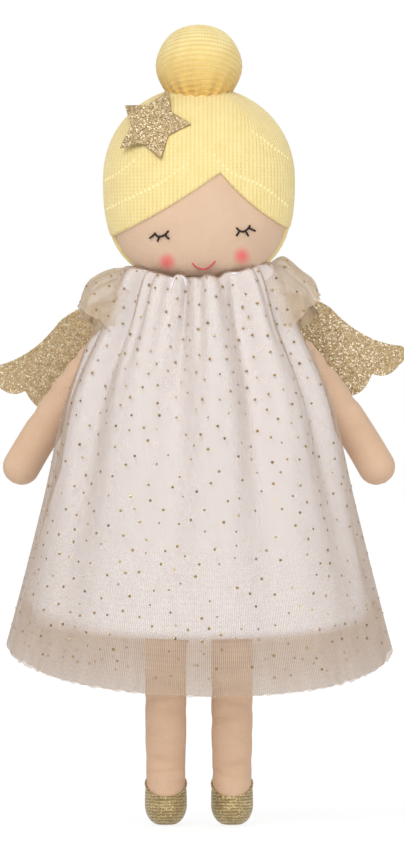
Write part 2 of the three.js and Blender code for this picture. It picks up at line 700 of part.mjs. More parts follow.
// The opening round the arm, from the shoulder to where the arm is clear of the dress.
function armhole(side) {
  const rings = [-0.06, 0.04, 0.14, 0.26, 0.38, 0.5, 0.6, 0.68].map((share) => {
    const [onArm, before] = [Math.max(share, 0), Math.min(share, 0) * armLength];
    const along = armLine.getTangentAt(onArm);
    const centre = armLine.getPointAt(onArm).addScaledVector(along, before);
    const wide = new THREE.Vector3(0, 1, 0).addScaledVector(along, -along.y).normalize();
    const thin = along.clone().cross(wide);
    const radius = (ARM_RADIUS + ARMHOLE_EASE) * (share > 0.65 ? 0.8 : 1);
    return Array.from({ length: 16 }, (_, i) => {
      const angle = (2 * Math.PI * i) / 16;
      const point = centre.clone().addScaledVector(wide, radius * Math.cos(angle));
      return point.addScaledVector(thin, radius * Math.sin(angle));
    });
  });
  return mirrored(ringSolid(rings), side);
}

// The same geometry on the doll's left, or reflected to its right.
function mirrored(geometry, side) {
  if (side > 0) return geometry;
  const flipped = geometry.clone().scale(-1, 1, 1);
  const index = flipped.index ? [...flipped.index.array] : [...flipped.attributes.position.array.keys()];
  const count = flipped.index ? index.length : flipped.attributes.position.count;
  return flipped.setIndex(index.slice(0, count).reverse());
}

const dressLayer = (surface) =>
  cut(thickSheet(surface, 40, dressRows, DRESS_CLOTH, true), armhole(1), armhole(-1));

// The elastic that gathers the neckline lies in the casing between the two layers.
function neckElastic() {
  const radius = mix(liningNeck, overlayNeck, 0.62);
  return new THREE.TorusGeometry(radius, ELASTIC_THICKNESS / 2, 6, 40).translate(0, 0, NECKLINE_Z);
}

// Sleeve frill: a puffed cap of tulle over the shoulder, from the neckline to beyond the arm.
// It is shaped on the doll's left, cut to the dress there, and reflected if it is for the right.
function sleeveFrill(side) {
  const inner = dressProfile.getPoint(shoulderRow);
  const surface = (u, v) => {
    const turn = radians(mix(-FRILL_TURN, FRILL_TURN, u));
    const [round, rise] = [1 - Math.cos(turn), Math.cos(turn)];
    const out = v * (1 - FRILL_TAPER * round * round);
    const wave = FRILL_WAVE * out * Math.cos(7 * turn);
    const puff = FRILL_PUFF * Math.sin(Math.PI * v) * Math.max(rise, 0);
    const [near, far] = [FRILL_INNER, FRILL_OUTER];
    const halfDepth = mix(near.halfDepth, far.halfDepth, out) + wave;
    return new THREE.Vector3(
      mix(inner.x - near.tuck + near.spread * round, inner.x + FRILL_REACH - far.draw * round, out) + wave,
      mix(near.centreY, far.centreY, out) + halfDepth * Math.sin(turn),
      inner.z + mix(near.rise * rise - near.fall, far.rise * rise - far.fall, out) + puff,
    );
  };
  const grown = surfaceRings(overlaySurface, -DRESS_CLOTH / 2 - 2 * SEAM_GAP, 40, dressRows);
  const frill = cut(thickSheet(surface, 16, evenly(5), DRESS_CLOTH), mirrored(ringSolid(grown), side));
  return mirrored(frill, side);
}

// Wing: glitter cloth with a swept top edge and three scallops, sewn to the dress along its root.
function wing(side) {
  const span = WING_SPAN;
  const outline = new THREE.Shape();
  const rise = (share) => WING_ROOT_TOP + WING_DEPTH * share;
  outline.moveTo(0, rise(0));
  outline.quadraticCurveTo(span * 0.34, rise(0.47), span * 0.62, rise(0.11));
  outline.quadraticCurveTo(span * 0.78, rise(-0.235), span * 0.98, rise(-0.265));
  outline.quadraticCurveTo(span * 1.03, rise(-0.35), span * 0.97, rise(-0.45));
  outline.quadraticCurveTo(span * 0.91, rise(-0.61), span * 0.83, rise(-0.54));
  outline.quadraticCurveTo(span * 0.77, rise(-0.85), span * 0.65, rise(-0.72));
  outline.quadraticCurveTo(span * 0.53, rise(-1.06), span * 0.4, rise(-0.87));
  outline.quadraticCurveTo(span * 0.2, rise(-1), 0, WING_ROOT_BOTTOM);
  const edge = WING_CLOTH / 4;
  const cloth = new THREE.ExtrudeGeometry(outline, {
    depth: WING_CLOTH - 2 * edge,
    bevelThickness: edge,
    bevelSize: edge,
    bevelOffset: -edge,
    bevelSegments: 1,
    curveSegments: 7,
  });
  const name = side > 0 ? "left" : "right";
  cloth.translate(0, -WING_ROOT_BOTTOM, 0).rotateZ(-radians(WING_DROOP[name]));
  cloth.translate(WING_ROOT_X, WING_ROOT_BOTTOM, 0);
  cloth.rotateX(Math.PI / 2).translate(0, wingPlaneY(side, WING_DROOP[name]), 0);
  return mirrored(cloth, side);
}

// A wing lies just behind the fullest part of the dress that it covers.
function wingPlaneY(side, droop) {
  let back = 0;
  for (let v = 0.3; v < 0.85; v += 0.005) {
    for (let column = 0; column < 10; column++) {
      const [near, far] = [column, column + 1].map((c) => overlaySurface(0.25 - (side * c) / 40, v));
      const [nearX, farX] = [side * near.x, side * far.x];
      const { x, y, z } = near.lerp(far, Math.max((WING_ROOT_X - nearX) / (farX - nearX), 0));
      const out = Math.min(Math.abs(x) / WING_SPAN / 0.38, 1);
      const drop = Math.abs(x) * Math.tan(radians(droop));
      const lowEdge = mix(WING_ROOT_BOTTOM, WING_ROOT_TOP - WING_DEPTH, out) - drop;
      if (z > lowEdge && z < WING_ROOT_TOP) back = Math.max(back, y);
    }
  }
  return back + DRESS_CLOTH / 2 + SEAM_GAP + 0.75 * WING_CLOTH;
}

// Colours and finish of each cloth.
const cloth = (color, roughness, metalness = 0) =>
  new THREE.MeshStandardMaterial({ color, roughness, metalness });
const finishes = {
  skin: cloth(0xe3c2a4, 0.85),
  hair: cloth(0xf6dd95, 0.9),
  glitter: cloth(0xc9b289, 0.45, 0.5),
  lining: cloth(0xf4efec, 0.8),
  tulle: cloth(0xe9e0d6, 0.75),
  lash: cloth(0x241a18, 0.7),
  lip: cloth(0xd9536b, 0.7),
  fibre: cloth(0xf7f6f2, 1),
  elastic: cloth(0xfafafa, 0.8),
};

const doll = new THREE.Group();
function add(name, geometry, finish) {
  const mesh = new THREE.Mesh(geometry, finishes[finish]);
  mesh.name = name;
  doll.add(mesh);
  return mesh;
}

add("torso_cover", torsoCover(), "skin");
add("torso_filling", torsoFilling(), "fibre");
add("face_panel", headPanel(leftSeam, rightSeam, 13), "skin");
add("hair_back", headPanel(rightSeam, leftSeam + 2 * Math.PI, 17), "hair");
add("hair_fringe", fringe(), "hair");
add("head_filling", headFilling(), "fibre");
add("bun_cover", bunCover(), "hair");
add("bun_filling", bunFilling(), "fibre");
add("hair_star", star(), "glitter");
add("mouth_stitches", mouth(), "lip");
add("hip_band", hipBand(), "skin");
add("dress_lining", dressLayer(liningSurface), "lining");
add("dress_overlay", dressLayer(overlaySurface), "tulle");
add("neck_elastic", neckElastic(), "elastic");
for (const [name, side] of Object.entries(SIDES)) {
  add(`${name}_eye_stitches`, closedEye(side), "lash");
  add(`${name}_arm_cover`, mirrored(armCover(), side), "skin");
  add(`${name}_arm_filling`, mirrored(armFilling(), side), "fibre");
  for (const [part, make, finish] of [
    ["leg_cover", legCover, "skin"],
    ["leg_filling", legFilling, "fibre"],
    ["shoe", shoe, "glitter"],
  ]) {
    add(`${name}_${part}`, make(), finish).position.x = (side * LEG_SPACING) / 2;
  }
  add(`${name}_sleeve_frill`, sleeveFrill(side), "tulle");
  add(`${name}_wing`, wing(side), "glitter");
}

export default doll;
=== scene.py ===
# A stuffed cloth angel doll in a white studio, made in metres over its solid model.
# It faces -Y, +Z is up and its own left hand is on +X. Lengths below are in millimetres.
import math

import bpy
import numpy as np
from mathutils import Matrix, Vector


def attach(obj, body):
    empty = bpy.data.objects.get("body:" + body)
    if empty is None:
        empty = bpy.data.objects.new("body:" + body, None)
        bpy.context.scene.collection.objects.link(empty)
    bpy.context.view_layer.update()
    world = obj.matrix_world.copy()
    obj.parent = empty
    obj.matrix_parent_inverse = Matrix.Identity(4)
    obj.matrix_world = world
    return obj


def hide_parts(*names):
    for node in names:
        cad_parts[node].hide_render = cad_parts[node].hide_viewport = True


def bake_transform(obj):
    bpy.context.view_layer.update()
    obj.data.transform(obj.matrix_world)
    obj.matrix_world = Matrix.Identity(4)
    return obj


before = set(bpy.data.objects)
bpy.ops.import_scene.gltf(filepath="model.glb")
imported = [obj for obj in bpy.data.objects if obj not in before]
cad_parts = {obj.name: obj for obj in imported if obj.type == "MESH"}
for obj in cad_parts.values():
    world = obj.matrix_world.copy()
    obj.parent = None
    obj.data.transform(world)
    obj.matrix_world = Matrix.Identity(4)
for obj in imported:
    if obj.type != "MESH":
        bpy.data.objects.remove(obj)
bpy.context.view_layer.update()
scene = bpy.context.scene
scene.view_settings.view_transform = "Standard"

# Camera: five metres in front of the doll and level with its waist, as for a catalogue picture.
# The frame is 404 by 866 pixels, each 0.627 mm at the doll's own depth.
CAMERA_AWAY, FRAME_HEIGHT, PIXEL = 5000, 866, 0.627
bpy.ops.object.camera_add(location=(0.0019, -CAMERA_AWAY / 1000, -0.0242), rotation=(math.pi / 2, 0, 0))
camera = bpy.context.object
camera.data.sensor_fit = "VERTICAL"
camera.data.sensor_height = 36
camera.data.lens = camera.data.sensor_height * CAMERA_AWAY / (FRAME_HEIGHT * PIXEL)
scene.camera = camera

# Light: one broad soft lamp above and in front, weaker ones beside and behind, and an even white room.
# The room is plain white where it is seen directly or mirrored, and dimmer as a light.
WHITE = (1, 1, 1, 1)
ROOM_LIGHT = 0.52
for name, spot, size, power in (
    ("key_lamp", (-0.55, -1.5, 1.25), 1.1, 19),
    ("fill_lamp", (1.5, -1.7, 0.35), 1.2, 9),
    ("back_lamp", (0.3, 1.6, 1.3), 1.0, 9),
):
    bpy.ops.object.light_add(type="AREA", location=spot)
    lamp = bpy.context.object
    lamp.name = name
    lamp.data.size = size
    lamp.data.energy = power
    lamp.rotation_euler = (-Vector(spot)).to_track_quat("-Z", "Y").to_euler()


def node(tree, kind, *terms, **settings):
    """A new node's outputs. Its first inputs take the terms: values, sockets, or None to leave one alone."""
    made = tree.nodes.new(f"ShaderNode{kind}")
    for key, value in settings.items():
        setattr(made, key, value)
    for socket, term in zip(made.inputs, terms):
        if isinstance(term, bpy.types.NodeSocket):
            tree.links.new(term, socket)
        elif term is not None:
            socket.default_value = term
    return made.outputs


def calc(operation, *terms):
    """A maths node on values and sockets, in the sockets' own tree, as its output socket."""
    tree = next(term.id_data for term in terms if isinstance(term, bpy.types.NodeSocket))
    return node(tree, "Math", *terms, operation=operation)[0]


def seen_directly(tree):
    """A value that is 1 for what the eye, a mirror or a pane sees, and 0 for light that is cast."""
    path = node(tree, "LightPath")
    mirrored = calc("MAXIMUM", path["Is Glossy Ray"], path["Is Transmission Ray"])
    return calc("MAXIMUM", path["Is Camera Ray"], mirrored)


room = bpy.data.worlds.new("white_room")
scene.world = room
room.use_nodes = True
tree = room.node_tree
dim = tree.nodes["Background"]
dim.inputs["Color"].default_value = WHITE
dim.inputs["Strength"].default_value = ROOM_LIGHT
either = node(tree, "MixShader", seen_directly(tree), dim.outputs[0], node(tree, "Background", WHITE)[0])
tree.links.new(either[0], tree.nodes["World Output"].inputs["Surface"])

# Floor: a wide white sheet just under the soles, which takes only a faint shadow.
# The doll is held up by its waist, with its soles at floor level.
SOLE_Z, FLOOR_GAP = -269.6, 0.4
PAPER_GLOW, SHADE_FROM, SHADE_TO, SHADE_LEAST = 1.07, 0.2, 0.8, 0.78
bpy.ops.mesh.primitive_plane_add(size=12, location=(0, 0, (SOLE_Z - FLOOR_GAP) / 1000))
floor = bpy.context.object
floor.name = "studio_floor"


def new_material(name, inputs):
    """A material, its node tree and its main shader, with that shader's inputs set."""
    made = bpy.data.materials.new(name)
    made.use_nodes = True
    shader = made.node_tree.nodes["Principled BSDF"]
    for key, value in inputs.items():
        shader.inputs[key].default_value = value
    return made, made.node_tree, shader


paper, tree, matt = new_material("white_paper", {"Base Color": (0.96, 0.96, 0.96, 1), "Roughness": 1})
reach = node(tree, "VectorMath", node(tree, "TexCoord")["Object"], operation="LENGTH")["Value"]
fade = node(tree, "MapRange", reach, SHADE_FROM, SHADE_TO, SHADE_LEAST, 1.0)[0]
share = calc("MULTIPLY", seen_directly(tree), fade)
either = node(tree, "MixShader", share, matt.outputs[0], node(tree, "Emission", WHITE, PAPER_GLOW)[0])
tree.links.new(either[0], tree.nodes["Material Output"].inputs["Surface"])
floor.data.materials.append(paper)

# Torso: a stuffed bag of skin-coloured cotton under the dress, with a flat seam below.
# Its round neck is sewn into the head, and the hips hang from its bottom seam.
TORSO_PROFILE = [
    (39, 2.6, -66), (42, 21.6, -39.6), (42, 27, 0), (39.6, 24.3, 32.4),
    (36.48, 20.52, 47), (19, 17, 56), (16, 16, 61), (16, 16, 80),
]
# This first and last share of a grid's length closes its ends.
END_SHARE = 0.02
WEAVE_PITCH = 0.0011


def rgb(red, green, blue):
    """A display colour of 0 to 255 as linear light."""
    linear = [((c / 255 + 0.055) / 1.055) ** 2.4 if c > 10 else c / 255 / 12.92 for c in (red, green, blue)]
    return (*linear, 1.0)


def smooth_line(points, share):
    """Points at shares from 0 to 1 of a smooth line through the given ones."""
    points = np.asarray(points, float)
    ends = np.vstack([2 * points[0] - points[1], points, 2 * points[-1] - points[-2]])
    spot = np.clip(np.asarray(share, float), 0, 1) * (len(points) - 1)
    first = np.minimum(spot.astype(int), len(points) - 2)
    rest = (spot - first)[:, None]
    a, b, c, d = (ends[first + k] for k in range(4))
    ab, bc, cd = (
        np.maximum(np.linalg.norm(q - p, axis=1), 1e-9)[:, None] ** 0.5 for p, q in ((a, b), (b, c), (c, d))
    )
    leave = ((b - a) / ab - (c - a) / (ab + bc) + (c - b) / bc) * bc
    arrive = ((c - b) / bc - (d - b) / (bc + cd) + (d - c) / cd) * bc
    square = 3 * (c - b) - 2 * leave - arrive
    cube = 2 * (b - c) + leave + arrive
    return b + leave * rest + square * rest**2 + cube * rest**3


def part(low, high, x):
    """How far x has come from low to high, as a share from 0 to 1."""
    return np.clip((x - low) / (high - low), 0, 1)


def smooth_step(low, high, x):
    share = part(low, high, x)
    return share * share * (3 - 2 * share)


def blend_of(a, b, share):
    return a + (b - a) * share


def sewn_grid(name, across, along, place, cover=None):
    """A grid of cloth whose point (u, v) lies at place(u, v), with its meeting edges sewn together.
    cover(u, v) gives the cloth's own coordinates, in tenths of a metre."""
    bpy.ops.mesh.primitive_grid_add(x_subdivisions=across, y_subdivisions=along, size=2)
    piece = bpy.context.object
    piece.name = piece.data.name = name
    mesh = piece.data
    flat = np.empty(3 * len(mesh.vertices))
    mesh.vertices.foreach_get("co", flat)
    u, v = np.round((flat.reshape(-1, 3)[:, :2].T + 1) / 2, 7)
    mesh.vertices.foreach_set("co", (place(u, v) / 1000).ravel())
    if cover:
        corners = np.empty(len(mesh.loops), int)
        mesh.loops.foreach_get("vertex_index", corners)
        mesh.uv_layers.active.data.foreach_set("uv", cover(u, v)[corners].ravel())
    bpy.ops.object.mode_set(mode="EDIT")
    bpy.ops.mesh.select_all(action="SELECT")
    bpy.ops.mesh.remove_doubles(threshold=2e-6)
    bpy.ops.mesh.normals_make_consistent(inside=False)
    bpy.ops.object.mode_set(mode="OBJECT")
    sides, middles = np.empty(3 * len(mesh.polygons)), np.empty(3 * len(mesh.polygons))
    mesh.polygons.foreach_get("normal", sides)
    mesh.polygons.foreach_get("center", middles)
    middles = middles.reshape(-1, 3) - middles.reshape(-1, 3).mean(0)
    if (sides.reshape(-1, 3) * middles).sum() < 0:
        mesh.flip_normals()
    bpy.ops.object.shade_smooth()
    return piece


def pattern_group(name, source):
    """A new node group, a coordinate in it, and that coordinate's x, y and z."""
    tree = bpy.data.node_groups.new(name, "ShaderNodeTree")
    place = node(tree, "TexCoord")[source]
    return tree, place, node(tree, "SeparateXYZ", place)


def set_outputs(tree, **values):
    """Gives a node group its outputs."""
    for label in values:
        tree.interface.new_socket(name=label, in_out="OUTPUT", socket_type="NodeSocketFloat")
    out = tree.nodes.new("NodeGroupOutput")
    for label, value in values.items():
        tree.links.new(value, out.inputs[label])


def noise(coordinate, scale, detail):
    return node(coordinate.id_data, "TexNoise", coordinate, None, scale, detail)[0]


def colour_ramp(share, *stops):
    """The colour at a share from 0 to 1 between stops, each a place and its colour."""
    ramp = share.id_data.nodes.new("ShaderNodeValToRGB")
    share.id_data.links.new(share, ramp.inputs[0])
    elements = ramp.color_ramp.elements
    for element, (place, colour) in zip(elements, (stops[0], stops[-1])):
        element.position, element.color = place, colour
    for place, colour in stops[1:-1]:
        elements.new(place).color = colour
    return ramp.outputs[0]


def cloth_material(name, pattern, dark, light, roughness, bump, sheen=0.0):
    """A cloth whose pattern's Shade runs from a dark to a light colour and whose Height raises it."""
    looks = {"Roughness": roughness, "Sheen Weight": sheen, "Specular IOR Level": 0.25}
    made, tree, shader = new_material(name, looks)
    group = node(tree, "Group", node_tree=pattern)
    tree.links.new(colour_ramp(group["Shade"], (0, dark), (1, light)), shader.inputs["Base Color"])
    relief = tree.nodes.new("ShaderNodeBump")
    relief.inputs["Distance"].default_value = bump / 1000
    relief.inputs["Strength"].default_value = 0.6
    tree.links.new(group["Height"], relief.inputs["Height"])
    tree.links.new(relief.outputs[0], shader.inputs["Normal"])
    return made


def torso_point(u, v):
    wide, deep, height = smooth_line(TORSO_PROFILE, part(END_SHARE, 1 - END_SHARE, v)).T
    angle = 2 * np.pi * u
    top = part(1, 1 - END_SHARE, v)
    deep = deep * part(0, END_SHARE, v) * top
    return np.stack([wide * top * np.cos(angle), deep * np.sin(angle), height], 1)


weave, spot, (x, y, z) = pattern_group("cotton_weave", "Object")
warp = calc("SINE", calc("MULTIPLY", calc("ADD", x, y), 2 * math.pi / WEAVE_PITCH))
weft = calc("SINE", calc("MULTIPLY", z, 2 * math.pi / WEAVE_PITCH))
threads = calc("MULTIPLY", warp, weft)
mottle = noise(spot, 60, 4)
fuzz = noise(spot, 900, 2)
tone = calc("MULTIPLY_ADD", mottle, 0.75, calc("MULTIPLY_ADD", fuzz, 0.35, -0.1))
set_outputs(
    weave, Shade=calc("MULTIPLY_ADD", threads, 0.06, tone),
    Height=calc("MULTIPLY_ADD", fuzz, 0.7, threads),
)
skin = cloth_material("skin_cotton", weave, rgb(211, 173, 142), rgb(231, 198, 168), 0.85, 0.12, 0.15)

torso = sewn_grid("stuffed_torso", 96, 80, torso_point)
torso.data.materials.append(skin)
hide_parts("torso_cover", "torso_filling")
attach(torso, "torso")

# Hip band: a folded strip of the same cotton, sewn along the bottom of the torso.
# The tops of both legs are sewn flat into its lower edge.
HIP_Z, HIP_SIZE = -0.0718, (0.0695, 0.003, 0.01)


def pick(*pieces):
    """Selects only these pieces and makes the first of them active."""
    bpy.ops.object.select_all(action="DESELECT")
    for piece in pieces:
        piece.select_set(True)
    bpy.context.view_layer.objects.active = pieces[0]


def apply_modifier(piece, kind, **settings):
    """Adds a modifier to a piece, sets it and applies it."""
    pick(piece)
    modifier = piece.modifiers.new(kind.lower(), kind)
    for key, value in settings.items():
        setattr(modifier, key, value)
    bpy.ops.object.modifier_apply(modifier=modifier.name)


bpy.ops.mesh.primitive_cube_add(size=1, location=(0, 0, HIP_Z))
band = bpy.context.object
band.name = band.data.name = "hip_strip"
band.scale = HIP_SIZE
bpy.ops.object.transform_apply(location=True, rotation=True, scale=True)
apply_modifier(band, "BEVEL", width=0.0011, segments=4)
bpy.ops.object.shade_smooth()
band.data.materials.append(skin)
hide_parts("hip_band")
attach(band, "hips")

# Legs: straight stuffed tubes of skin cotton, flat at the hip and creased across at the shin.
# The lower end of each is tucked into its shoe.
SIDES = (("left", 1), ("right", -1))
LEG_X, LEG_LENGTH, LEG_RADIUS, LEG_FOOT = 20.75, 192, 13, 9
HIP_RUN, HIP_HALF_WIDTH, HIP_HALF_DEPTH = 26, 14, 1.8
ANKLE_HEIGHT, ANKLE_NARROWING = 36, 0.05
TOE_REACH, TOE_LOW, TOE_HIGH = 8, 8, 34
SOLE_ROUND, SOLE_SHARE = 13, 0.3
TUCK_DEPTH, TUCK_LOW, TUCK_HIGH = 0.7, 20, 34
CREASE_DEPTH, CREASE_TURN, CREASED_TO = 1.5, 0.95, 160
LEG_CREASES = {
    "left": [
        (88, 4.4, 1.0, 5, 2.0), (77, 5.1, 0.9, 4, -3.0), (68, 4.2, 1.2, 5, 2.4), (57, 4.9, 1.1, 5, -1.5),
        (47, 4.3, 0.7, 4, 1.0), (37, 5.0, 1.1, 4, 2.6), (31, 4.2, 0.9, 3, -1.8), (104, 4.9, 0.9, 6, 2.0),
        (122, 4.3, 1.0, 6, -2.2), (143, 1.6, 1.0, 6, 1.4), (60, 1.4, 0.9, 5, 1.2), (84, 1.8, 0.8, 5, -1.5),
    ],
    "right": [
        (91, 4.9, 0.9, 5, -2.0), (81, 4.3, 1.0, 5, 2.6), (73, 5.0, 0.8, 4, -1.6), (62, 4.5, 1.1, 6, 1.8),
        (50, 5.0, 0.6, 4, -1.0), (40, 4.4, 1.0, 4, -2.0), (33, 4.8, 1.0, 3, 1.4), (26, 4.5, 0.6, 3, -0.6),
        (110, 4.4, 1.0, 6, 1.6), (130, 5.0, 0.9, 6, -1.8), (70, 1.5, 0.9, 5, -1.2), (46, 1.7, 0.9, 5, 1.0),
    ],
}


def bell(x, width):
    """A rounded bump: 1 where x is 0, falling off over a width."""
    return np.exp(-((x / width) ** 2))


def leg_section(height):
    """Half width, front depth and back depth of a leg at a height above its sole."""
    flat = smooth_step(LEG_LENGTH - HIP_RUN, LEG_LENGTH, height)
    ankle = 1 - ANKLE_NARROWING * bell(height - ANKLE_HEIGHT, LEG_RADIUS)
    sole = blend_of(SOLE_SHARE, 1, np.sqrt(1 - (1 - part(0, SOLE_ROUND, height)) ** 2))
    toe = TOE_REACH * (1 - smooth_step(TOE_LOW, TOE_HIGH, height)) * sole
    deep = blend_of(LEG_RADIUS, HIP_HALF_DEPTH, flat) * ankle * sole
    return blend_of(LEG_RADIUS, HIP_HALF_WIDTH, flat) * ankle * sole, deep + toe, deep


def wrinkles(angle, along, creases):
    """How far cloth sinks in at its creases: each is a place, an angle, a depth, a width and a slant."""
    sunk = np.zeros_like(angle)
    for place, turn, depth, width, slant in creases:
        away = (angle - turn + np.pi) % (2 * np.pi) - np.pi
        off = (along - place - slant * away) / width
        sunk += depth * (1 - 0.9 * off**2) * bell(off, 1) * bell(away, CREASE_TURN)
    return CREASE_DEPTH * sunk


def leg_point(name, side):
    def place(u, v):
        angle = 2 * np.pi * u
        height = blend_of(LEG_FOOT, LEG_LENGTH, part(END_SHARE, 1 - END_SHARE, v))
        wide, front, back = leg_section(height)
        shut = part(0, END_SHARE, np.minimum(v, 1 - v))
        creased = height < CREASED_TO
        inset = TUCK_DEPTH * (1 - smooth_step(TUCK_LOW, TUCK_HIGH, height))
        inset = inset + wrinkles(angle, height, LEG_CREASES[name]) * creased
        seam = 0.35 * bell(np.cos(angle) - 1, 0.006) * creased
        deep = np.where(np.sin(angle) < 0, front, back)
        x = (wide - inset - seam) * np.cos(angle) * np.where(v < 0.5, shut, 1)
        y = (deep - np.minimum(inset, 0.8 * deep)) * np.sin(angle) * shut
        return np.stack([side * LEG_X + x, y, SOLE_Z + height], 1)
    return place


for name, side in SIDES:
    leg = sewn_grid(f"{name}_stuffed_leg", 96, 190, leg_point(name, side))
    leg.data.materials.append(skin)
    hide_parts(f"{name}_leg_cover", f"{name}_leg_filling")
    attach(leg, f"{name}_leg")

# Shoes: slippers of gold lame knit, sewn to the legs along an edge that dips over the toes.
# Metal threads run across them in fine raised rows.
SHOE_HEIGHT, SHOE_SLOPE = 26, 0.55
SOLE_ROWS, RIM_ROWS = 0.16, 0.92
LAME_ROW, LAME_LOOP = 0.0019, 0.0013


def shoe_point(side):
    def place(u, v):
        angle = 2 * np.pi * u
        ahead = np.sin(angle) < 0
        _, front, back = leg_section(np.full_like(u, SHOE_HEIGHT))
        rim = SHOE_HEIGHT + SHOE_SLOPE * np.where(ahead, front, back) * np.sin(angle)
        rise = part(SOLE_ROWS, RIM_ROWS, v)
        roll = part(RIM_ROWS, 1, v)
        height = rim * rise**1.25 + 0.5 * np.sin(np.pi * roll)
        wide, front, back = leg_section(height)
        proud = 0.25 + 0.5 * bell(rise - 1, 0.04) - 1.5 * roll**2 - 0.5 * bell(rise - 0.9, 0.03)
        spread = part(0, SOLE_ROWS, v)
        x = (wide + proud) * np.cos(angle) * spread
        y = (np.where(ahead, front, back) + proud) * np.sin(angle) * spread
        return np.stack([side * LEG_X + x, y, SOLE_Z + height], 1)
    return place


def ridges(value, pitch):
    """Rounded ridges at a pitch along a value, from 0 between them to 1 on top."""
    return calc("ABSOLUTE", calc("SINE", calc("MULTIPLY", value, math.pi / pitch)))


lame, spot, (x, y, z) = pattern_group("lame_rows", "Object")
wobble = calc("MULTIPLY", noise(spot, 120, 2), 2.2)
level = calc("MULTIPLY_ADD", z, math.pi / LAME_ROW, wobble)
rows = calc("ABSOLUTE", calc("SINE", level))
loops = ridges(calc("ADD", x, y), LAME_LOOP)
stitch = calc("MULTIPLY", rows, calc("MULTIPLY_ADD", loops, 0.5, 0.5))
cells = node(lame, "SeparateColor", node(lame, "TexVoronoi", spot, None, 1100)["Color"])
spark = calc("GREATER_THAN", cells[0], 0.93)
tone = calc("MULTIPLY_ADD", cells[1], 0.3, calc("MULTIPLY", stitch, 0.5))
set_outputs(
    lame, Shade=calc("MULTIPLY_ADD", spark, 0.6, tone),
    Height=calc("MULTIPLY_ADD", cells[2], 0.25, stitch),
    Metal=calc("MULTIPLY_ADD", rows, 0.35, 0.2),
)
gold_knit = cloth_material("shoe_lame", lame, rgb(104, 84, 52), rgb(226, 204, 150), 0.42, 0.5)
tree = gold_knit.node_tree
tree.links.new(tree.nodes["Group"].outputs["Metal"], tree.nodes["Principled BSDF"].inputs["Metallic"])

for name, side in SIDES:
    shoe = sewn_grid(f"{name}_slipper", 96, 90, shoe_point(side))
    shoe.data.materials.append(gold_knit)
    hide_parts(f"{name}_shoe")
    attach(shoe, f"{name}_leg")

# Arms: long stuffed tubes of skin cotton with plain rounded hands, seamed along both sides.
# Each is sewn flat to the shoulder and hangs out and back, clear of the dress.
SHOULDER = np.array((39.18, 4, 47))
ARM_BENDS = (SHOULDER, SHOULDER + (39.25, 28, -30.75), SHOULDER + (78.5, 28, -102.5))
ARM_RADIUS, ARM_ROOT_WIDTH, ARM_ROOT_DEPTH, ARM_END_SHARE = 11.4, 9, 2.4, 0.015
ARM_TAPER, ARM_OPENING, ARM_CREASING = (0.94, 1.05), (-0.02, 0.26), (0.08, 0.2)
ARM_CREASES = [
    (24, 4.6, 0.8, 4, 1.6), (34, 5.2, 0.9, 4, -2.0), (46, 4.4, 0.7, 4, 1.6), (58, 5.0, 0.6, 5, -2.2),
    (72, 4.2, 0.5, 5, 2.0), (90, 4.9, 0.45, 6, 1.5), (30, 1.4, 0.9, 4, 1.4), (52, 1.8, 0.8, 5, -1.6),
    (78, 1.5, 0.6, 5, 1.2),
]


def bend(a, b, c, t):
    """Points at shares t of a curve that leaves a towards b and comes to c from b."""
    return (1 - t) ** 2 * a + 2 * t * (1 - t) * b + t**2 * c


def run_along(line):
    """How far along a line of points each of them lies."""
    return np.concatenate([[0], np.cumsum(np.linalg.norm(np.diff(line, axis=0), axis=1))])


def unit(vectors):
    return vectors / np.maximum(np.linalg.norm(vectors, axis=1), 1e-9)[:, None]


def arm_line(share):
    """Points along the middle of the left arm, evenly spaced, the directions there, and its length."""
    a, b, c = ARM_BENDS
    t = np.linspace(0, 1, 400)[:, None]
    run = run_along(bend(a, b, c, t))
    at = np.interp(np.clip(share, 0, 1) * run[-1], run, t[:, 0])[:, None]
    return bend(a, b, c, at), unit((1 - at) * (b - a) + at * (c - b)), run[-1]


def arm_point(side):
    def place(u, v):
        angle = 2 * np.pi * u
        share = part(ARM_END_SHARE, 1, v)
        share = share + 0.06 * np.sin(np.pi * share) ** 2
        centre, along, length = arm_line(share)
        wide = unit(np.array((0, 1, 0)) - along * along[:, 1:2])
        thin = np.cross(along, wide)
        full = ARM_RADIUS * blend_of(*ARM_TAPER, share)
        opened = np.sqrt(smooth_step(*ARM_OPENING, share))
        to_end = np.clip((1 - share) * length / full, 0, 1)
        rounded = np.sqrt(np.clip(1 - (1 - to_end) ** 2, 0, 1))
        sunk = wrinkles(angle * side, share * length, ARM_CREASES) * to_end
        sunk = sunk * smooth_step(*ARM_CREASING, share)
        sunk = sunk + 0.4 * bell(np.abs(np.sin(angle)) - 1, 0.004) * opened * to_end
        shut = part(0, ARM_END_SHARE, v)
        across = (blend_of(ARM_ROOT_WIDTH, full, opened) * rounded - sunk) * np.cos(angle)
        deep = (blend_of(ARM_ROOT_DEPTH, full, opened) * rounded - sunk) * np.sin(angle) * shut
        return (centre + wide * across[:, None] + thin * deep[:, None]) * (side, 1, 1)
    return place


for name, side in SIDES:
    arm = sewn_grid(f"{name}_stuffed_arm", 80, 150, arm_point(side))
    arm.data.materials.append(skin)
    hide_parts(f"{name}_arm_cover", f"{name}_arm_filling")
    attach(arm, f"{name}_arm")

# Face: the front panel of the stuffed head, in skin cotton with two soft pink cheeks.
# It is sewn to the hair at the back along side seams just in front of the widest line.
HEAD_Z, HEAD_WIDE, HEAD_DEEP = 134, 59, 44
CROWN, CHIN = (57, 2.1), (64, 2.6)
SIDE_SEAM = math.radians(11)
NECK_RADIUS = 17.3
NECK_HOLE, CROWN_HOLE = -math.acos((NECK_RADIUS / HEAD_DEEP) ** (CHIN[1] / 2)), math.radians(86)
CHEEKS, CHEEK_RADIUS = [(-19.9, 82.5), (26.7, 86.1)], 8.0


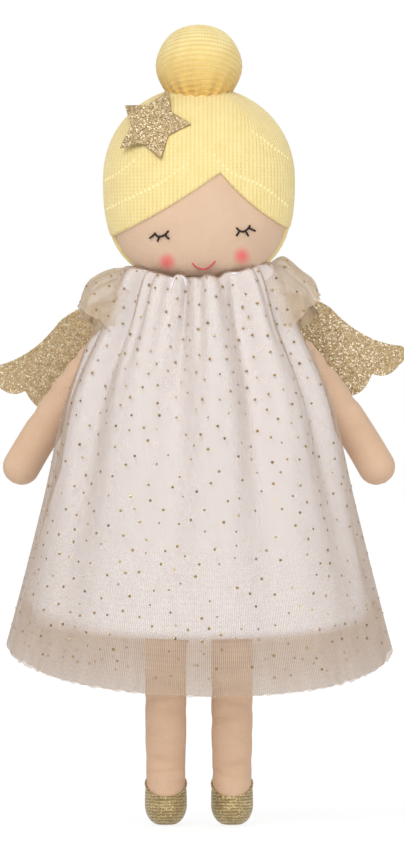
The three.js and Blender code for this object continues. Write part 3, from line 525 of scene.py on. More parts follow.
def head_point(longitude, latitude, lift=0.0):
    """The head's surface, in longitude from the doll's left round its front, lifted along its normal."""
    tall = np.where(latitude >= 0, CROWN[0], CHIN[0])
    bulge = np.where(latitude >= 0, CROWN[1], CHIN[1])
    flank = np.cos(latitude) ** (2 / bulge)
    rise = np.sign(latitude) * np.abs(np.sin(latitude)) ** (2 / bulge)
    x, y = flank * np.cos(longitude), -flank * np.sin(longitude)
    slope = np.maximum(flank, 1e-4) ** (bulge - 2)
    upward = np.sign(latitude) * np.abs(rise) ** (bulge - 1) / tall
    normal = unit(np.stack([slope * x / HEAD_WIDE, slope * y / HEAD_DEEP, upward], 1))
    point = np.stack([HEAD_WIDE * x, HEAD_DEEP * y, HEAD_Z + tall * rise], 1)
    return point + normal * np.reshape(lift, (-1, 1))


def head_latitude(v):
    """Latitudes from the neck to the crown at about even steps along the head's surface."""
    table = np.linspace(NECK_HOLE, CROWN_HOLE, 600)
    run = run_along(head_point(np.full(600, np.pi / 2), table))
    return np.interp(v * run[-1], run, table)


def seam_tuck(u):
    """How far a head panel sinks into its two side seams."""
    return 0.9 * bell(np.minimum(u, 1 - u), 0.012)


def face_point(u, v):
    longitude = blend_of(SIDE_SEAM, np.pi - SIDE_SEAM, u)
    latitude = head_latitude(v)
    lumps = 0.25 * np.sin(5 * longitude + 3 * latitude) * np.sin(4 * latitude + 1)
    return head_point(longitude, latitude, lumps - seam_tuck(u))


def tinted(share, colour, tint, way="MIX"):
    """A colour that turns by a share into a tint, or in another way into their mixture."""
    unused = [None] * 5
    return node(share.id_data, "Mix", share, *unused, colour, tint, data_type="RGBA", blend_type=way)[2]


face = sewn_grid("face_cloth", 150, 130, face_point)
apply_modifier(face, "SOLIDIFY", thickness=0.001, offset=-1)
face_skin = cloth_material("face_cotton", weave, rgb(214, 180, 152), rgb(231, 202, 175), 0.85, 0.12, 0.15)
tree = face_skin.node_tree
spot = node(tree, "TexCoord")["Object"]
colour = tree.nodes["Color Ramp"].outputs[0]
for x, z in CHEEKS:
    away = node(tree, "VectorMath", spot, (1000, 0, 1000), (-x, 0, -z), operation="MULTIPLY_ADD")[0]
    reach = node(tree, "VectorMath", away, operation="LENGTH")["Value"]
    dab = node(tree, "MapRange", reach, CHEEK_RADIUS, 0.0, 0.0, 0.85, interpolation_type="SMOOTHERSTEP")[0]
    colour = tinted(dab, colour, rgb(246, 108, 108))
tree.links.new(colour, tree.nodes["Principled BSDF"].inputs["Base Color"])
face.data.materials.append(face_skin)
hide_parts("face_panel", "head_filling")
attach(face, "head")

# Hair at the back: a panel of yellow stocking knit over the whole back of the head.
# Its wales run straight up and over the crown, and its edge shows as a thin rim round the jaw.
WALE, COURSE = 2.7, 2.1
HAIR_WIDE, HAIR_DEEP, HAIR_TALL, HAIR_RUN = HEAD_WIDE + 2, HEAD_DEEP + 2, 66, 58
hair_turn = np.linspace(-np.pi / 2, np.pi / 2, 801)
hair_girth = np.cumsum(np.hypot(HAIR_WIDE * np.cos(hair_turn), HAIR_DEEP * np.sin(hair_turn)))
hair_girth = (hair_girth - hair_girth[400]) * (hair_turn[1] - hair_turn[0])


def knit_cover(points):
    """The knit's own coordinates on the head, across the wales and along them, in tenths of a metre."""
    x, y, z = points.T
    straight = np.arcsin(np.clip(x / HAIR_WIDE, -1, 1))
    around = np.arctan2(x / HEAD_WIDE, np.abs(y) / HEAD_DEEP)
    side = smooth_step(0.55, 0.95, np.abs(np.sin(around)))
    across = np.interp(blend_of(straight, around, side), hair_turn, hair_girth)
    along = HAIR_RUN * np.arcsin(np.clip((z - HEAD_Z) / HAIR_TALL, -1, 1))
    return np.stack([across, along], 1) / 100


def back_point(u, v):
    longitude = blend_of(np.pi - SIDE_SEAM, 2 * np.pi + SIDE_SEAM, u)
    latitude = head_latitude(v)
    lumps = 0.4 * np.sin(4 * longitude + 2 * latitude) * np.sin(3 * latitude)
    return head_point(longitude, latitude, 0.5 - seam_tuck(u) + lumps)


knit, spot, (x, y, _) = pattern_group("stocking_knit", "UV")
column = calc("FRACT", calc("ADD", calc("MULTIPLY", x, 100 / WALE), 100.0))
inside = calc("ABSOLUTE", calc("SUBTRACT", column, 0.5))
crown = calc("MULTIPLY_ADD", calc("MULTIPLY", inside, inside), -3.6, 1.0)
lean = calc("MULTIPLY_ADD", inside, -1.3, calc("MULTIPLY", y, 100 / COURSE))
loop = calc("COSINE", calc("MULTIPLY", lean, 2 * math.pi))
height = calc("MULTIPLY", crown, calc("MULTIPLY_ADD", loop, 0.22, 0.78))
patch = calc("MULTIPLY_ADD", noise(spot, 9, 3), 0.6, -0.05)
set_outputs(knit, Shade=calc("MULTIPLY_ADD", height, 0.62, patch), Height=height)
hair = cloth_material("hair_knit", knit, rgb(232, 203, 124), rgb(253, 235, 172), 0.9, 0.9, 0.3)

back = sewn_grid("back_hair", 180, 140, back_point, lambda u, v: knit_cover(back_point(u, v)))
apply_modifier(back, "SOLIDIFY", thickness=0.0014, offset=-1)
back.data.materials.append(hair)
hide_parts("hair_back")
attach(back, "head")

# Fringe: a second knitted panel laid over the top of the face and parted in a V above one eye.
# It is sewn in at the side seams and under the bun, and its lower edge is turned under.
PARTING_X, PARTING_Z, PARTING_FALLS = 13, 137.5, ((0.74, 0.0024), (1.17, 0.0088))
FRINGE_SIDE, FRINGE_TOP = math.radians(4), math.radians(84)


def hairline(x):
    """The height of the fringe's lower edge, which falls away to both sides of the parting."""
    away = np.abs(x - PARTING_X)
    right, left = (slope * away - curve * away**2 for slope, curve in PARTING_FALLS)
    return PARTING_Z - np.where(x < PARTING_X, right, left)


def fringe_point(u, v):
    longitude = blend_of(FRINGE_SIDE, np.pi - FRINGE_SIDE, u)
    low, high = np.full_like(u, -1.5), np.full_like(u, 1.5)
    for _ in range(40):
        middle = (low + high) / 2
        point = head_point(longitude, middle)
        under = point[:, 2] < hairline(point[:, 0])
        low, high = np.where(under, middle, low), np.where(under, high, middle)
    latitude = blend_of(low, FRINGE_TOP, v**1.15)
    swell = 2.1 - 1.3 * bell(v, 0.012) - 1.6 * bell(np.minimum(u, 1 - u), 0.02)
    return head_point(longitude, latitude, swell)


fringe = sewn_grid("parted_fringe", 200, 130, fringe_point, lambda u, v: knit_cover(fringe_point(u, v)))
apply_modifier(fringe, "SOLIDIFY", thickness=0.0013, offset=-1)
fringe.data.materials.append(hair)
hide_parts("hair_fringe")
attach(fringe, "head")

# Fashioning marks: slanting rows of small raised loops where the fringe was narrowed in knitting.
# They sweep from the temples up towards the crown on both sides of the parting.
MARK_ROWS = [
    [(-57, 133.5), (-47, 139), (-38, 146.5)],
    [(-55.5, 116), (-38, 124), (-22, 132), (-6, 143)],
    [(7.5, 150), (19, 138), (38, 129.5), (54.5, 117)],
    [(32, 163), (44, 154), (54, 146.8)],
]
MARK_LIFT, MARK_SCALE = 1.9, (0.9, 0.7, 1.25)


def on_head(x, z, lift):
    """The head's front surface straight behind a point of the front view."""
    tall = np.where(z >= HEAD_Z, CROWN[0], CHIN[0])
    bulge = np.where(z >= HEAD_Z, CROWN[1], CHIN[1])
    flank = (1 - np.clip(np.abs(z - HEAD_Z) / tall, 0, 1) ** bulge) ** (1 / bulge)
    longitude = np.arccos(np.clip(x / HEAD_WIDE / flank, -1, 1))
    latitude = np.sign(z - HEAD_Z) * np.arccos(np.clip(flank, 0, 1) ** (bulge / 2))
    return head_point(longitude, latitude, lift)


loops = []
for row in MARK_ROWS:
    line = smooth_line(row, np.linspace(0, 1, 60))
    reach = np.interp(line[:, 0], HAIR_WIDE * np.sin(hair_turn), hair_girth) / WALE
    for wale in range(math.ceil(reach[0] - 0.5), math.floor(reach[-1] - 0.5) + 1):
        x, z = (np.interp([wale + 0.5], reach, values) for values in line.T)
        centre = on_head(x, z, MARK_LIFT)[0] / 1000
        bpy.ops.mesh.primitive_ico_sphere_add(subdivisions=2, radius=0.001, location=centre)
        loops.append(bpy.context.object)
        loops[-1].scale = MARK_SCALE
pick(*loops)
bpy.ops.object.transform_apply(location=True, rotation=True, scale=True)
bpy.ops.object.join()
mark_rows = bpy.context.object
mark_rows.name = mark_rows.data.name = "fringe_marks"
bpy.ops.object.shade_smooth()
yarn = cloth_material("hair_yarn", weave, rgb(250, 232, 164), rgb(255, 245, 200), 0.9, 0.1, 0.3)
mark_rows.data.materials.append(yarn)
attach(mark_rows, "head")

# Bun: a stuffed ball of ribbed yellow knit on the crown, leaning back, gathered to a narrow base.
# Its ribs run round it in rings that crowd and pleat together where it is sewn down.
BUN_PROFILE = [(10, -30), (19.98, -18), (27, 0), (19.44, 18), (4, 25), (0, 25.3)]
BUN_LEAN, BUN_Z, BUN_RIB, BUN_GIRTH = math.radians(-26), 206, 3.3, 165
BUN_SHADE_TOP, BUN_SHADE_FOOT = 0.221, 0.182
bun_shares = np.linspace(0, 1, 500)
bun_run = run_along(smooth_line(BUN_PROFILE, bun_shares))


def bun_point(u, v):
    angle = 2 * np.pi * u
    run = part(END_SHARE, 1, v) * bun_run[-1]
    at = np.interp(run, bun_run, bun_shares)
    radius, height = smooth_line(BUN_PROFILE, at).T
    along = unit(smooth_line(BUN_PROFILE, at + 0.004) - smooth_line(BUN_PROFILE, at - 0.004))
    slack = run + 0.9 * np.sin(3 * angle + 1) * np.exp(-run / 25)
    rib = np.abs(np.sin(np.pi * slack / BUN_RIB)) ** 0.7 - 0.65
    deep = blend_of(1.1, 0.3, smooth_step(0, 60, run))
    rise = deep * rib + 1.3 * np.cos(15 * angle + 2 * np.sin(2 * angle)) * bell(run, 14)
    radius = np.maximum(radius + rise * along[:, 1], 0) * part(0, END_SHARE, v) * (v < 1)
    height = height - rise * along[:, 0]
    x, y = radius * np.cos(angle), radius * np.sin(angle)
    lean, stand = math.sin(BUN_LEAN), math.cos(BUN_LEAN)
    return np.stack([x, y * stand - height * lean, BUN_Z + y * lean + height * stand], 1)


bun = sewn_grid(
    "ribbed_bun", 144, 200, bun_point,
    lambda u, v: np.stack([v * bun_run[-1] * WALE / BUN_RIB, u * BUN_GIRTH], 1) / 100,
)
bun_wool = cloth_material("bun_knit", knit, rgb(224, 188, 104), rgb(253, 236, 172), 0.9, 0.9, 0.3)
tree = bun_wool.node_tree
# Painted shade: the knit is tinted darker and more orange from BUN_SHADE_TOP down to BUN_SHADE_FOOT, where
# the bun shades itself near its gathered base.
height = node(tree, "SeparateXYZ", node(tree, "TexCoord")["Object"])["Z"]
low = node(tree, "MapRange", height, BUN_SHADE_TOP, BUN_SHADE_FOOT)[0]
colour = tinted(low, tree.nodes["Color Ramp"].outputs[0], (0.82, 0.65, 0.36, 1), "MULTIPLY")
tree.links.new(colour, tree.nodes["Principled BSDF"].inputs["Base Color"])
bun.data.materials.append(bun_wool)
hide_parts("bun_cover", "bun_filling")
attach(bun, "head")

# Star: a five-pointed patch of stiff gold glitter felt, sewn to the fringe beside the bun.
# Only its middle is stitched down, so its points stand off the round head a little.
STAR_RADII, STAR_TURN, STAR_PLACE, STAR_STEP = (25, 14), 74, (-29, 168), 36
FRINGE_LIFT, STAR_GAP = 2.4, 0.5
SHARP_EDGES = {"limit_method": "ANGLE", "angle_limit": math.radians(50)}
facing = np.array((-0.3, -0.86, 0.41))
facing /= np.linalg.norm(facing)
longitudes, latitudes = np.meshgrid(np.radians(np.arange(0, 180, 3.0)), np.radians(np.arange(0, 90, 3.0)))
reach = (head_point(longitudes.ravel(), latitudes.ravel(), FRINGE_LIFT) @ facing).max() + STAR_GAP
star_y = (reach - STAR_PLACE[0] * facing[0] - STAR_PLACE[1] * facing[2]) / facing[1]
star_middle = np.array((STAR_PLACE[0], star_y, STAR_PLACE[1]))
across = np.cross((0, 0, 1), facing)
across /= np.linalg.norm(across)
upward = np.cross(facing, across)
bpy.ops.mesh.primitive_circle_add(vertices=10, radius=1, fill_type="TRIFAN")
star = bpy.context.object
star.name = star.data.name = "glitter_star"
for vertex in star.data.vertices:
    if vertex.co.length > 0.5:
        step = round(math.degrees(math.atan2(vertex.co.y, vertex.co.x)) / STAR_STEP - 90 / STAR_STEP) % 10
        radius, angle = STAR_RADII[step % 2], math.radians(STAR_TURN + STAR_STEP * step)
        vertex.co = (radius * math.cos(angle), radius * math.sin(angle), 0)
bpy.ops.object.mode_set(mode="EDIT")
bpy.ops.mesh.select_all(action="SELECT")
bpy.ops.mesh.subdivide(number_cuts=9)
bpy.ops.mesh.normals_make_consistent(inside=False)
bpy.ops.object.mode_set(mode="OBJECT")
for vertex in star.data.vertices:
    u, v, _ = vertex.co
    drop = -0.0022 * (u * u + v * v) + 0.35 * math.sin(u / 5) * math.cos(v / 6)
    vertex.co = (star_middle + across * u + upward * v + facing * drop) / 1000
apply_modifier(star, "SOLIDIFY", thickness=0.002, offset=0)
apply_modifier(star, "BEVEL", width=0.0004, segments=2, **SHARP_EDGES)


def glitter_material(name, size, dull, mid, bright, tilt):
    """Metal flakes glued to felt: each cell has its own colour and leans its own way."""
    made, tree, shader = new_material(name, {"Roughness": 0.42, "Metallic": 0.4})
    flakes = node(tree, "TexVoronoi", node(tree, "TexCoord")["Object"], None, 1000 / size)["Color"]
    stops = (0, dull), (0.5, mid), (0.86, mid), (0.95, bright)
    colour = colour_ramp(node(tree, "SeparateColor", flakes)[0], *stops)
    tree.links.new(colour, shader.inputs["Base Color"])
    shift = node(tree, "VectorMath", flakes, (0.5, 0.5, 0.5), operation="SUBTRACT")[0]
    ground = node(tree, "NewGeometry")["Normal"]
    lean = node(tree, "VectorMath", shift, (tilt, tilt, tilt), ground, operation="MULTIPLY_ADD")[0]
    tree.links.new(node(tree, "VectorMath", lean, operation="NORMALIZE")[0], shader.inputs["Normal"])
    return made


star_glitter = glitter_material(
    "star_glitter", 0.65, rgb(128, 105, 71), rgb(174, 150, 109), rgb(238, 226, 196), 0.58
)
star.data.materials.append(star_glitter)
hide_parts("hair_star")
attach(star, "head")

# Eyes: two closed lids stitched on the face in twisted black thread, each with three lashes.
# The thread lies on the cotton and its ends go through it.
EYES = {
    "left": [
        [(23.1, 103.7), (25.2, 101.8), (27.5, 101.3), (30, 102.8), (31.9, 105.3)],
        [(25.1, 101.7), (24.2, 100.2), (23.1, 98.5)],
        [(28.7, 101.5), (29.7, 100.2), (30.7, 98.5)],
        [(31.4, 103.3), (33.2, 102.5), (35.1, 101.7)],
    ],
    "right": [
        [(-27.6, 100.6), (-26, 98.7), (-24.1, 98.2), (-21.2, 99.2), (-18.8, 101.6)],
        [(-27.4, 99.8), (-29, 98.4), (-30.7, 97.1)],
        [(-24.4, 98.2), (-25.1, 96.7), (-25.7, 95.1)],
        [(-20.9, 99), (-19.6, 97.8), (-18.5, 96.5)],
    ],
}
THREAD_END, THREAD_ROUND, THREAD_TWIST = 0.04, 0.06, 2.2


def stitched(name, strands, radius, lift):
    """Twisted threads laid over the face along points of the front view, as one piece."""
    tubes = []
    for strand in strands:
        def place(u, v, strand=strand):
            def spot(ahead, low=0.0, high=1.0):
                share = (v - THREAD_END + ahead) / (1 - 2 * THREAD_END)
                return smooth_line(strand, np.clip(share, low, high)).T

            here = spot(0)
            ends = np.abs(part(THREAD_END, 1 - THREAD_END, v) - 0.5) * 2
            middle = on_head(*here, lift * (1 - 0.8 * ends**6))
            out = on_head(*here, lift + 1) - on_head(*here, lift)
            along = unit(on_head(*spot(0.01, low=0.01), lift) - on_head(*spot(-0.01, high=0.99), lift))
            sideways = np.cross(along, out)
            angle = 2 * np.pi * u
            run = v * run_along(np.array(strand))[-1]
            thick = radius * (0.9 + 0.12 * np.cos(2 * (angle + THREAD_TWIST * run)))
            thick *= np.sqrt(1 - part(THREAD_ROUND, 0, np.minimum(v, 1 - v)) ** 2)
            around = sideways * np.cos(angle)[:, None] + out * np.sin(angle)[:, None]
            return middle + around * thick[:, None]
        tubes.append(sewn_grid(name, 16, 48, place))
    pick(*tubes)
    bpy.ops.object.join()
    tubes[0].name = tubes[0].data.name = name
    return tubes[0]


lash_thread = cloth_material("lash_thread", weave, rgb(20, 15, 14), rgb(48, 38, 34), 0.6, 0.1)
for name, strands in EYES.items():
    eye = stitched(f"{name}_eye_thread", strands, 0.66, 0.62)
    eye.data.materials.append(lash_thread)
    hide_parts(f"{name}_eye_stitches")
    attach(eye, "head")

# Mouth: a small smile in pink thread, stitched on the face like the eyes.
# It sits below them, a little towards the doll's left, and its ends go through the cotton.
SMILE = [(-4.1, 81.8), (-1.5, 79.4), (1.5, 78.3), (4.5, 78.5), (7.6, 80.3), (10.3, 83.2)]
mouth = stitched("smile_thread", [SMILE], 0.52, 0.5)
lip_thread = cloth_material("lip_thread", weave, rgb(205, 62, 82), rgb(238, 108, 120), 0.65, 0.1)
mouth.data.materials.append(lip_thread)
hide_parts("mouth_stitches")
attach(mouth, "head")

# Lining: the white cotton layer of the dress, gathered at the neck and flaring to a plain hem.
# The arms pass through openings below its shoulders.
WAIST_WIDE, WAIST_DEEP = 79.5, 51.75
DRESS_PROFILE = [
    (28.6, 28.6, 72), (20.6, 20.6, 66), (20.6, 20.6, 62), (44, 33.5, 73),
    (61.24, 41.85, 39.96), (WAIST_WIDE, WAIST_DEEP, 0), (96.1, 64.4, -62.8), (121, 82, -157),
]
CASING_TOP, CASING_FOOT, SHOULDER_ROW, HEM_ROW = 1 / 7, 2 / 7, 3 / 7, 0.72
CASING = 3.8
LINING_HEM_Z, LINING_EASE, LINING_GAP, LINING_DIP = -137, 11, 1.2, 13
FOLD_COUNT, FOLD_DEPTH, FOLD_START = 10, 3.2, -1.13
PLEAT_COUNT, PLEATS = 22, 2.4
BACK_BULGE = 9
ARM_EASE, ARM_NEAR_X, ARM_NEAR_Z = 0.6, 25, (-75, 90)
ARM_RAISES, RAISED_EASE, RAISED_Z = np.radians((25, 50, 75, 95)), 0.6, 30
ARM_UNDERSIDE, LINING_HOLE, HOLE_EDGE = -0.2 * ARM_RADIUS, 13.2, 1.3


def dress_folds(u, v, pleats=0.0):
    """The dress's common surface: u runs round it and v from the neckline's edge to the hem.
    pleats is the depth of the small gathers that run down from the neckline."""
    angle = 2 * np.pi * u
    wide, deep, height = smooth_line(DRESS_PROFILE, v).T
    turn = FOLD_COUNT * angle + 0.7 * np.sin(2 * angle) + FOLD_START + 0.35 * np.sin(3 * angle + 5 * v)
    valley = ((1 + np.cos(turn)) / 2) ** 1.8
    uneven = 1.2 + 0.25 * np.sin(3 * angle - 0.42)
    gather = FOLD_DEPTH * smooth_step(CASING_FOOT, 0.55, v) * (1 - 0.75 * smooth_step(0.68, 0.98, v))
    fold = gather * uneven * (0.9 - 3.0 * valley)
    small = np.cos(PLEAT_COUNT * angle + 2.2 * np.sin(3 * angle) + 1.4 * np.sin(5 * angle + 2))
    pleats = pleats * (1 - 0.85 * smooth_step(0.62, 0.92, np.abs(np.cos(angle))))
    pleat = 0.5 - 1.7 * ((1 + small) / 2) ** 2
    chest = smooth_step(CASING_FOOT, 0.4, v) * (1 - smooth_step(0.46, 0.8, v))
    heading = part(CASING_TOP, 0, v)
    fold = fold + pleats * (chest * pleat + heading * small)
    bulge = np.where(np.sin(angle) > 0, BACK_BULGE * bell(v - 0.5, 0.12), 0)
    bumps = pleats * (0.4 * pleat + 0.3 * np.sin(17 * angle + 2))
    shrug = 7.5 * np.cos(angle) ** 2 + 2.5 * np.maximum(np.cos(angle), 0)
    height = height + bell(v - SHOULDER_ROW, 0.07) * (shrug + bumps)
    return np.stack([(wide + fold) * np.cos(angle), (deep + fold + bulge) * np.sin(angle), height], 1)


def inward(surface, u, v):
    """The inward normal of a dress surface."""
    along_u = surface(u + 1e-3, v) - surface(u - 1e-3, v)
    along_v = surface(u, np.clip(v + 1e-3, 0, 1)) - surface(u, np.clip(v - 1e-3, 0, 1))
    return unit(np.cross(along_u, along_v))


def hem_drop(u, v, dip):
    """The hem hangs lower at the front and back than at the sides."""
    away = (np.hypot(np.sin(2 * np.pi * u), 0.18) - 0.18) / 0.836
    return dip * smooth_step(HEM_ROW, 1, v) * away**0.75


def arm_gap(points, raised=0.0):
    """From the middle of the left arm to points near it: the vectors, their lengths, and how far outward."""
    centre, along, _ = arm_line(np.linspace(0, 1, 120))
    centre = np.vstack([centre[0] - along[0] * np.linspace(6, 1, 5)[:, None], centre])
    if raised:
        x, y, z = (centre[:40] - SHOULDER).T
        turned = x * math.cos(raised) - z * math.sin(raised), y, x * math.sin(raised) + z * math.cos(raised)
        centre = SHOULDER + np.stack(turned, 1)
    outward = unit(centre / (WAIST_WIDE**2, WAIST_DEEP**2, 1) * (1, 1, 0))
    nearest = np.array([np.argmin(((centre - point) ** 2).sum(1)) for point in points], int)
    away = points - centre[nearest]
    return away, np.linalg.norm(away, axis=1), (away * outward[nearest]).sum(1)


def by_arm(points, side):
    """Which points an arm may touch, and those points as if on the doll's left."""
    x, z = points[:, 0] * side, points[:, 2]
    near = np.flatnonzero((x > ARM_NEAR_X) & (z > ARM_NEAR_Z[0]) & (z < ARM_NEAR_Z[1]))
    return near, points[near] * (side, 1, 1)


def round_arms(points, inside=0.0):
    """Dress cloth pressed aside by the arms that hang against it; inside is for the layer below."""
    points = points.copy()
    for side in (1, -1):
        near, spots = by_arm(points, side)
        away, far, level = arm_gap(spots)
        radius = ARM_RADIUS + ARM_EASE - inside * np.clip(2 * level / ARM_RADIUS, -1, 1)
        push = np.where(far < 2 * radius, radius + far**2 / (4 * radius), far) - far
        points[near] += away * (push / np.maximum(far, 1e-6))[:, None] * (side, 1, 1)
    return points


shares = np.linspace(0.8, 1, 400)
lining_end = np.interp(-LINING_HEM_Z, -smooth_line(DRESS_PROFILE, shares)[:, 2], shares)


def lining_point(u, v):
    below, above = part(CASING_FOOT, 1, v), part(CASING_TOP, 0, v)
    level = np.where(
        v < CASING_TOP, blend_of(v, 0.3 * CASING_TOP, above),
        np.where(v < CASING_FOOT, v, blend_of(CASING_FOOT, lining_end, below)),
    )
    hang = blend_of(LINING_GAP, LINING_EASE, below**4.5)
    inside = blend_of(blend_of(CASING, hang, smooth_step(0, 0.16, below)), 0.6 * CASING, above)
    point = dress_folds(u, level, PLEATS) + inward(dress_folds, u, level) * inside[:, None]
    point[:, 2] -= hem_drop(u, v, LINING_DIP)
    return round_arms(point, 1)


def in_armhole(points, radius):
    """True for points on the doll's left that lie in the opening where its arm hangs and is raised."""
    _, far, level = arm_gap(points)
    opening = (far < radius) & (level > ARM_UNDERSIDE)
    high = np.flatnonzero(points[:, 2] > RAISED_Z)
    for raised in ARM_RAISES:
        opening[high] |= arm_gap(points[high], raised)[1] < radius - RAISED_EASE
    return opening


def cut_armholes(piece, radius):
    """Opens a sheet where the arms come out through it, with an even edge."""
    vertices = piece.data.vertices
    flat = np.empty(3 * len(vertices))
    vertices.foreach_get("co", flat)
    points = flat.reshape(-1, 3) * 1000
    gone = np.zeros(len(points), bool)
    for side in (1, -1):
        near, spots = by_arm(points, side)
        gone[near] = in_armhole(spots, radius)
        away, far, level = arm_gap(spots)
        edge = (far >= radius) & (far < radius + HOLE_EDGE) & (level > ARM_UNDERSIDE)
        points[near[edge]] -= (away * (1 - radius / far)[:, None] * (side, 1, 1))[edge]
    vertices.foreach_set("co", (points / 1000).ravel())
    pick(piece)
    bpy.ops.object.mode_set(mode="EDIT")
    bpy.ops.mesh.select_mode(type="VERT")
    bpy.ops.mesh.select_all(action="DESELECT")
    bpy.ops.object.mode_set(mode="OBJECT")
    piece.data.vertices.foreach_set("select", gone)
    bpy.ops.object.mode_set(mode="EDIT")
    bpy.ops.mesh.delete(type="VERT")
    bpy.ops.object.mode_set(mode="OBJECT")


lining = sewn_grid("dress_lining_cloth", 320, 130, lining_point)
cut_armholes(lining, LINING_HOLE)
apply_modifier(lining, "SOLIDIFY", thickness=0.0005, offset=0)
white_cotton = cloth_material("lining_cotton", weave, rgb(243, 240, 243), rgb(253, 252, 254), 0.85, 0.04, 0.1)
lining.data.materials.append(white_cotton)
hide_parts("dress_lining")
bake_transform(lining)

# Overlay: the sheer tulle layer of the dress, two fingers' breadth longer than the lining.
# It is gathered with it on the same elastic and ends in a wavy cut edge.
HEM_GIRTH, DRESS_RUN = 640, 250
OVERLAY_DIP, BACK_DIP, SIDE_DIP, OVERLAY_HOLE = 30, 5, 2.5, 12.6
NET_PITCH, NET_SHARE = 0.011, 0.33
HEM_START, HEM_DARKEST, HEM_END = 2.365, 2.39, 2.5


def overlay_point(u, v):
    angle = 2 * np.pi * u
    point = dress_folds(u, v, PLEATS)
    point[:, 2] -= hem_drop(u, v, OVERLAY_DIP + BACK_DIP * (np.sin(angle) > 0))
    edge = 0.35 * np.sin(96 * angle + 3 * np.sin(5 * angle))
    edge = edge + 0.4 * np.sin(53 * angle + 2 * np.sin(7 * angle))
    point[:, 2] += smooth_step(0.975, 1, v) * edge - SIDE_DIP * np.cos(angle) * smooth_step(HEM_ROW, 1, v)
    return round_arms(point)


net, spot, (x, y, _) = pattern_group("tulle_net", "UV")
weft = calc("MULTIPLY_ADD", ridges(y, NET_PITCH), 0.24, 0.76)
thread = calc("SUBTRACT", 1.0, calc("MULTIPLY", ridges(x, NET_PITCH), weft))
down = node(net, "MapRange", y, 2.2, 2.38)[0]
open_net = calc("MULTIPLY", calc("SUBTRACT", calc("POWER", thread, 1.4), NET_SHARE), down)
patch = calc("MULTIPLY_ADD", noise(spot, 14, 3), 0.5, 0.2)
# Below the lining's hem the net hides more of what lies behind it. This is partly the back layers of tulle
# seen through it and partly painted shade: darkest just under the lining's edge, where its shadow falls, and
# fading towards the cut edge.
turned = node(net, "MapRange", y, HEM_START, HEM_DARKEST)[0]
hem_shade_fade = node(net, "MapRange", y, HEM_DARKEST, HEM_END, 1.0, 0.15)[0]
rear = calc("MULTIPLY_ADD", x, 8.0, -4.0)
set_outputs(
    net, Net=calc("ADD", open_net, NET_SHARE), Shade=calc("MULTIPLY_ADD", open_net, 0.4, patch),
    Hem=calc("MULTIPLY", turned, hem_shade_fade),
    Seam=calc("SMOOTH_MIN", calc("MAXIMUM", calc("MULTIPLY", y, 5.0), rear), 1.0, 0.2),
)


def tulle_material(name, dark, light, least, most, seam=1.0):
    """Fine net of thin threads that hides from a least to a most share of what lies behind it.
    seam is how much of that is left where the net is drawn out thin along its inner seam."""
    made, tree, shader = new_material(name, {"Roughness": 0.6, "Sheen Weight": 0.15})
    group = node(tree, "Group", node_tree=net)
    tree.links.new(colour_ramp(group["Shade"], (0, dark), (1, light)), shader.inputs["Base Color"])
    cover = calc("MULTIPLY_ADD", group["Net"], most - least, least)
    # Painted shade: below the lining's hem the net hides more, standing in for the shaded inside of the dress
    # and the shadow under the lining's edge.
    cover = calc("MULTIPLY_ADD", group["Hem"], 0.28, cover)
    slant = calc("MULTIPLY", calc("POWER", node(tree, "LayerWeight")["Facing"], 1.5), 0.8)
    cover = calc("MULTIPLY_ADD", slant, calc("SUBTRACT", 1.0, cover), cover)
    cover = calc("MULTIPLY", cover, calc("MULTIPLY_ADD", group["Seam"], 1 - seam, seam))
    light_through = calc("MULTIPLY_ADD", node(tree, "LightPath")["Is Camera Ray"], 0.75, 0.25)
    tree.links.new(calc("MULTIPLY", cover, light_through), shader.inputs["Alpha"])
    return made


overlay = sewn_grid(
    "dress_tulle_overlay", 640, 130, overlay_point,
    lambda u, v: np.stack([u * HEM_GIRTH, v * DRESS_RUN], 1) / 100,
)
cut_armholes(overlay, OVERLAY_HOLE)
tulle = tulle_material("dress_tulle", rgb(160, 134, 112), rgb(212, 190, 170), 0.3, 0.72)
overlay.data.materials.append(tulle)
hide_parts("dress_overlay")

# Gold dots: small round spots of gold foil pressed onto the tulle, scattered evenly over the dress.
DOT_SPACING, DOT_SIDES, DOT_SIZES = 7.6, 8, (0.62, 1.05)
DOT_CROWN, DOT_RIM = 0.5, 0.12


def foil_dots(name, surface, spacing, tries, seed, keep, facing=-1):
    """Little domed discs on a surface, no two nearer than the spacing, as one piece.
    facing is -1 where they lie on the outer side of a dress surface."""
    chance = np.random.default_rng(seed)
    u, v = chance.random(tries), chance.random(tries)
    points = surface(u, v)
    normals = facing * inward(surface, u, v)
    chosen = []
    for i in np.flatnonzero(keep(points, v)):
        if not chosen or np.linalg.norm(points[chosen] - points[i], axis=1).min() > spacing:
            chosen.append(i)
    turns = 2 * np.pi * np.arange(DOT_SIDES)[:, None] / DOT_SIDES
    corners, faces = [], []
    for i in chosen:
        size = chance.uniform(*DOT_SIZES)
        wide = np.cross(normals[i], (0.3, 0.2, 1))
        wide /= np.linalg.norm(wide)
        tall = np.cross(normals[i], wide)
        base = len(corners)
        corners.append(points[i] + normals[i] * DOT_CROWN)
        around = (wide * np.cos(turns) + tall * np.sin(turns)) * size
        corners += list(points[i] + normals[i] * DOT_RIM + around)
        faces += [(base, base + 1 + k, base + 1 + (k + 1) % DOT_SIDES) for k in range(DOT_SIDES)]
    mesh = bpy.data.meshes.new(name)
    mesh.from_pydata((np.array(corners) / 1000).tolist(), [], faces)
    piece = bpy.data.objects.new(name, mesh)
    scene.collection.objects.link(piece)
    pick(piece)
    bpy.ops.object.shade_smooth()
    return piece


def clear_of_arms(points, v):
    """True for points of the dress that are off its armholes, its neckline and its very hem."""
    points = points * np.where(points[:, :1] < 0, (-1, 1, 1), (1, 1, 1))
    return ~in_armhole(points, ARM_RADIUS + 6) & (v > 0.44) & (v < 0.985)


